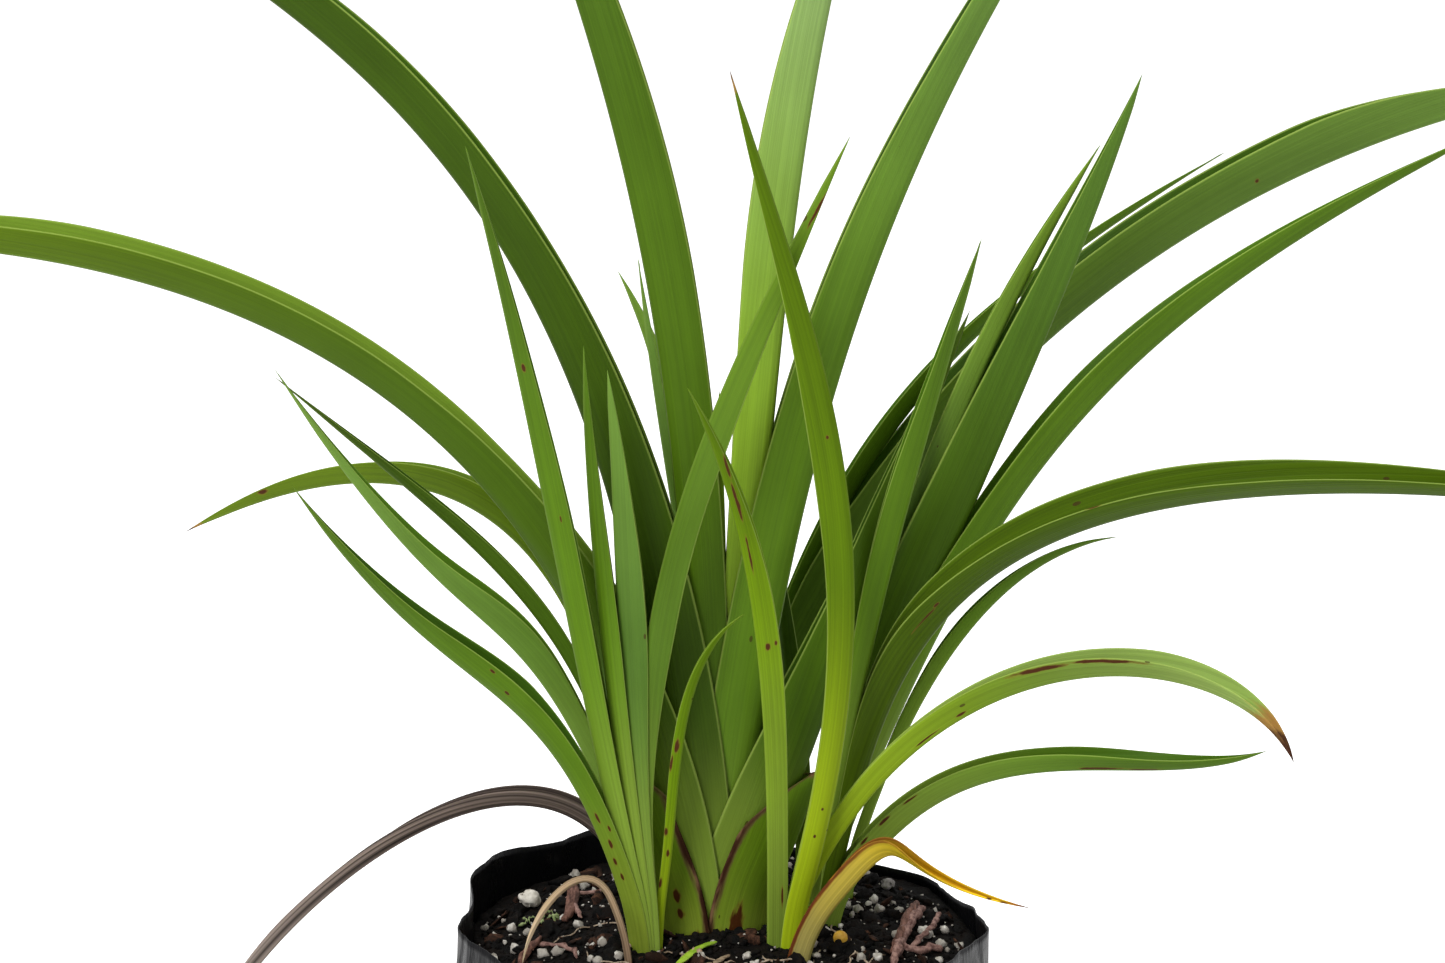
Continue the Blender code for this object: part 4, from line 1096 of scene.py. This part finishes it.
# Back fans: a thin leaf, a small one, the broad arch that reaches far to the right, and a
# short leaf of the little fan furthest back.
grow(("thin_back_leaf", "back", -1, 0, (-26, 42, 358),
      -6, 0.35, 6, 0.3, 20, 5, 40, 18, 0.6, 0),
     GLAUCOUS)
grow(("small_back_leaf", "back", 1, 1, (164, 120, 377),
      8, 0.46, 69, 0.35, 20, 6, 15, 28, 0.6, 0),
     EMERALD)
grow(("far_right_arch", "back", 1, 2, (274, 100, 402),
      13, 0.35, 84, 0.42, 20, 15.5, 35, 28, 0.22, 0),
     SHADED_GREEN._replace(blade=(0.085, 0.16, 0.012), top=(0.125, 0.225, 0.035)),
     marks=((266, 5.4, 1, 0.8),))
grow(("little_back_leaf", "little_back", -1, 0, (-33, 62, 350),
      -3, 0.4, 28, 0.3, 20, 8, 20, 20, 0.5, 0),
     EMERALD._replace(top=(0.14, 0.25, 0.03)))


# Tan dead leaf: a thin dry ribbon of an old leaf, which lies bowed over the mix.
TAN = Finish((0.38, 0.27, 0.16), (0.22, 0.14, 0.09), (0.28, 0.19, 0.11), (0.46, 0.35, 0.22),
             20, 0.9, 0, 0.2, 0)

grow(("tan_dead_leaf", "dead", -1, 0, (-60, -40, 158.5),
      -22, 0.55, 168, 0.4, 1.8, 1.4, 10, 16, 0.4, 60),
     TAN,
     waviness=1.2)


# Loose bark, leaf scraps and stones on the mix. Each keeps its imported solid's place and
# form, made finer: fibrous bark, a dry strip, a fresh scrap, pumice and a coated prill.
def loose_material(name, dark, light, scale, stretch, roughness, relief):
    """A mottled surface from dark to light, drawn out along the piece's fibres."""
    material, tree, shader = new_material(name, Specular_IOR_Level=0.35)
    place = put(tree, "ShaderNodeTexCoord").outputs["Object"]
    drawn = put(tree, "ShaderNodeMapping", {"Vector": place, "Scale": stretch}).outputs[0]
    fibre = cloud(tree, drawn, scale, 7, 0.65)
    colour = blend(tree, ramp(tree, fibre, 0.32, 0.68), (*dark, 1), (*light, 1))
    rough = ramp(tree, fibre, 0.3, 0.7, roughness + 0.1, roughness - 0.1)
    cover(tree, shader, colour, rough, fibre, 0.8, relief)
    return material


def finish_loose(node, name, material, levels, ridge, scale):
    """A finer copy of a loose piece's solid, with ridges or lumps pushed into it."""
    piece = copy_solid(node, name)
    modifier = piece.modifiers.new("finer", "SUBSURF")
    modifier.levels = levels
    modifier.render_levels = levels
    settle_mesh(piece)
    for point in piece.data.vertices:
        lump = noise.noise(Vector(part * size for part, size in zip(point.co, scale)))
        point.co += point.normal * ridge * lump
    piece.data.materials.append(material)
    close_mesh(piece)
    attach(piece, "root")
    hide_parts(node)


red_bark = loose_material("reddish bark", (0.045, 0.016, 0.010), (0.21, 0.095, 0.065),
                          60, (14, 3, 14), 0.75, 0.5 * MM)
dry_strip = loose_material("dry leaf", (0.13, 0.085, 0.05), (0.44, 0.33, 0.22),
                           60, (3, 12, 14), 0.7, 0.3 * MM)
fresh_scrap = loose_material("fresh leaf scrap", (0.17, 0.30, 0.015), (0.32, 0.48, 0.04),
                             60, (6, 6, 6), 0.45, 0.1 * MM)
pumice = loose_material("pumice", (0.40, 0.36, 0.30), (0.76, 0.72, 0.64),
                        300, (1, 1, 1), 0.85, 0.5 * MM)
grey_rock = loose_material("grey stone", (0.18, 0.165, 0.155), (0.40, 0.37, 0.35),
                           300, (1, 1, 1), 0.7, 0.3 * MM)
coated_prill = loose_material("coated prill", (0.60, 0.30, 0.025), (0.82, 0.50, 0.07),
                              180, (1, 1, 1), 0.4, 0.1 * MM)
for node in ("bark_strip_left", "bark_strip_left_small", "bark_strip_right", "bark_chip_right"):
    finish_loose(node, node + "_bark", red_bark, 3, 0.5 * MM, (900, 160, 900))
finish_loose("dry_leaf_strip", "dry_strip", dry_strip, 2, 0.3 * MM, (300, 900, 300))
finish_loose("green_leaf_scrap", "fresh_scrap", fresh_scrap, 2, 0.1 * MM,
             (200, 200, 200))
finish_loose("white_stone", "pumice_stone", pumice, 3, 0.7 * MM, (500, 500, 500))
finish_loose("grey_stone", "grey_pebble", grey_rock, 3, 0.5 * MM, (450, 450, 450))
finish_loose("fertiliser_prill", "prill", coated_prill, 3, 0.08 * MM, (400, 400, 400))


# Roots, twigs, moss and a chip on the mix: thin pale roots that come out beside the fans,
# a knobbly reddish twig with side branches at the right, a tuft of moss by the white
# stone and a tan chip of bark. They lie on the mix, so each follows its surface.
# A twig: the points that it passes over, its radius, how knobbly it is and how high it
# stands off the mix (mm)
Twig = namedtuple("Twig", "line radius knobs lift")
ROOTS = (
    Twig(((33, -2), (37, -12), (42, -22), (47, -33)), 0.35, 0.2, 0.8),
    Twig(((38, -8), (40, -18), (38, -28), (36, -36)), 0.28, 0.2, 1.0),
    Twig(((30, -20), (24, -28), (14, -30), (6, -36)), 0.30, 0.2, 0.9),
    Twig(((-30, -2), (-38, 2), (-46, -2), (-52, -8)), 0.25, 0.2, 0.7),
    Twig(((-20, -26), (-12, -24), (-4, -30), (4, -28)), 0.30, 0.2, 0.8),
    Twig(((-42, -20), (-36, -28), (-26, -30)), 0.28, 0.2, 0.9),
    Twig(((50, -18), (44, -26), (46, -38)), 0.25, 0.2, 0.8),
    Twig(((12, -26), (18, -33), (28, -36)), 0.35, 0.2, 0.7),
)
TWIGS = (
    Twig(((63, 22), (60, 10), (57, -2), (54, -14), (52, -26)), 1.6, 0.5, 2.4),
    Twig(((68, 20), (66, 8), (62, -4), (58, -10)), 0.9, 0.5, 2.2),
    Twig(((54, -12), (60, -13), (68, -8)), 1.3, 0.5, 1.6),
    Twig(((-46, 34), (-47, 20), (-44, 8)), 0.9, 0.4, 2.0),
    Twig(((-36, 26), (-42, 30), (-50, 28)), 0.7, 0.4, 1.6),
    Twig(((-58, -10), (-50, -14), (-44, -22)), 0.8, 0.4, 1.2),
)
MOSS = tuple(
    Twig(((x, y), (x + dx, y + dy), (x + 2 * dx, y + dy)), 0.5, 0.6, 1.6)
    for x, y, dx, dy in ((-62, 12, 2.5, 1), (-58, 8, 1.5, -2), (-55, 12, 2, -1.5),
                         (-60, 16, -1.5, -2), (-53, 8, 1, 2.5), (-63, 7, 1.5, 2),
                         (-57, 14, 2, 1)))
CHIPS = (
    Twig(((-12, -28), (-9, -26), (-6, -27)), 1.3, 0.4, 0.6),
    Twig(((-30, -20), (-27, -17)), 0.9, 0.4, 0.5),
)
TWIG_STEPS = 7               # rings between two of a twig's points
TWIG_SIDES = 8
TWIG_WANDER = 1.2 * MM       # how far a twig strays from its line


def mix_height(x, y):
    """Height of the mix's finished surface under a point."""
    hit, place, _, _ = mix_surface.ray_cast(Vector((x, y, 0.19)), Vector((0, 0, -1)))
    return place.z if hit else 0.15


def lay_twigs(name, twigs, material):
    """Round, slightly crooked stems laid over the mix, as one piece."""
    points, faces = [], []
    for number, twig in enumerate(twigs):
        line = [Vector((x * MM, y * MM, 0)) for x, y in twig.line]
        count = TWIG_STEPS * (len(line) - 1)
        for step in range(count + 1):
            part = step / count * (len(line) - 1)
            near = min(int(part), len(line) - 2)
            before, after = line[max(near - 1, 0)], line[min(near + 2, len(line) - 1)]
            share = part - near
            place = line[near].lerp(line[near + 1], share)
            bend = line[near].lerp(line[near + 1], 0.5) * 2 - before.lerp(after, 0.5) * 2
            place += bend * share * (1 - share) * 0.5
            way = (line[near + 1] - line[near]).normalized()
            side = Vector((-way.y, way.x, 0))
            wander = noise.noise(Vector((step * 0.5, number * 7.3, 0)))
            place += side * wander * TWIG_WANDER
            knob = 1 + twig.knobs * noise.noise(Vector((step * 0.9, number * 3.1, 5)))
            radius = twig.radius * MM * knob * math.sqrt(max(0.05, 1 - (2 * step / count - 1) ** 6))
            arch = 0.6 + 0.4 * math.sin(math.pi * step / count) + 0.5 * wander
            place.z = mix_height(place.x, place.y) + radius * 0.4 + twig.lift * MM * max(0, arch)
            for turn in range(TWIG_SIDES):
                angle = 2 * math.pi * turn / TWIG_SIDES
                rise = Vector((0, 0, math.sin(angle) * radius))
                points.append(place + side * math.cos(angle) * radius + rise)
            if step:
                high = len(points) - TWIG_SIDES
                low = high - TWIG_SIDES
                for turn in range(TWIG_SIDES):
                    after = (turn + 1) % TWIG_SIDES
                    faces.append((low + turn, low + after, high + after, high + turn))
        last = len(points) - TWIG_SIDES
        first = last - TWIG_SIDES * count
        faces.append(tuple(range(first, first + TWIG_SIDES))[::-1])
        faces.append(tuple(range(last, last + TWIG_SIDES)))
    mesh = bpy.data.meshes.new(name)
    mesh.from_pydata([tuple(point) for point in points], [], faces)
    piece = new_object(name, mesh)
    mesh.materials.append(material)
    close_mesh(piece)
    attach(piece, "root")


pale_root = loose_material("pale root", (0.16, 0.11, 0.07), (0.46, 0.36, 0.26),
                           90, (6, 6, 6), 0.7, 0.1 * MM)
pink_twig = loose_material("reddish twig", (0.085, 0.035, 0.028), (0.34, 0.20, 0.165),
                           90, (8, 5, 8), 0.75, 0.4 * MM)
moss_green = loose_material("moss", (0.10, 0.14, 0.04), (0.32, 0.38, 0.17),
                            200, (2, 2, 2), 0.85, 0.3 * MM)
tan_chip = loose_material("tan chip", (0.25, 0.15, 0.09), (0.52, 0.36, 0.25),
                          90, (6, 6, 6), 0.8, 0.3 * MM)
lay_twigs("fine_roots", ROOTS, pale_root)
lay_twigs("knobbly_twigs", TWIGS, pink_twig)
lay_twigs("moss_tuft", MOSS, moss_green)
lay_twigs("tan_chips", CHIPS, tan_chip)


# Stage: a plain near-white floor, soft studio light from above and both sides, and a
# camera where the photograph was taken from.
CAMERA_LENS = 91.35
CAMERA_DISTANCE = 1.1
CAMERA_ELEVATION = math.radians(15)
CAMERA_AIM = 0.298
LIGHT_AIM = Vector((0, 0, 0.3))
FLOOR_GLOW = 0.6


def make_floor():
    """A wide floor that glows only as the camera sees it, so that it lights nothing."""
    bpy.ops.mesh.primitive_plane_add(size=30)
    floor = bpy.context.object
    floor.name = "floor"
    material, tree, shader = new_material("pale floor", Base_Color=(0.93, 0.93, 0.93, 1),
                                          Roughness=0.9, Specular_IOR_Level=0.1,
                                          Emission_Color=(1, 1, 1, 1))
    seen = put(tree, "ShaderNodeLightPath").outputs["Is Camera Ray"]
    tree.links.new(times(tree, seen, FLOOR_GLOW), shader.inputs["Emission Strength"])
    floor.data.materials.append(material)


def make_lamp(name, place, size, power):
    """A round soft lamp that points at the plant."""
    lamp = bpy.data.lights.new(name, "AREA")
    lamp.shape = "DISK"
    lamp.size = size
    lamp.energy = power
    holder = new_object(name, lamp)
    holder.location = place
    holder.rotation_euler = (LIGHT_AIM - Vector(place)).to_track_quat("-Z", "Y").to_euler()


def make_camera():
    """The camera, in front of the plant and a little above it."""
    camera = bpy.data.cameras.new("camera")
    camera.lens = CAMERA_LENS
    camera.sensor_width = 36
    camera.clip_start = 0.01
    holder = new_object("camera", camera)
    holder.location = (0, -CAMERA_DISTANCE * math.cos(CAMERA_ELEVATION),
                       CAMERA_AIM + CAMERA_DISTANCE * math.sin(CAMERA_ELEVATION))
    holder.rotation_euler = (math.radians(90) - CAMERA_ELEVATION, 0, 0)
    bpy.context.scene.camera = holder


make_floor()
make_lamp("soft key", (-0.9, -1.2, 2.0), 1.0, 42)
make_lamp("soft fill", (1.5, -0.9, 1.2), 1.6, 3)
make_lamp("top light", (0.2, 0.6, 2.2), 2.0, 12)
world = bpy.data.worlds.new("studio")
world.use_nodes = True
background = world.node_tree.nodes["Background"]
background.inputs["Color"].default_value = (1.0, 1.0, 1.0, 1)
background.inputs["Strength"].default_value = 0.55
bpy.context.scene.world = world
bpy.context.scene.view_settings.view_transform = "Standard"
make_camera()
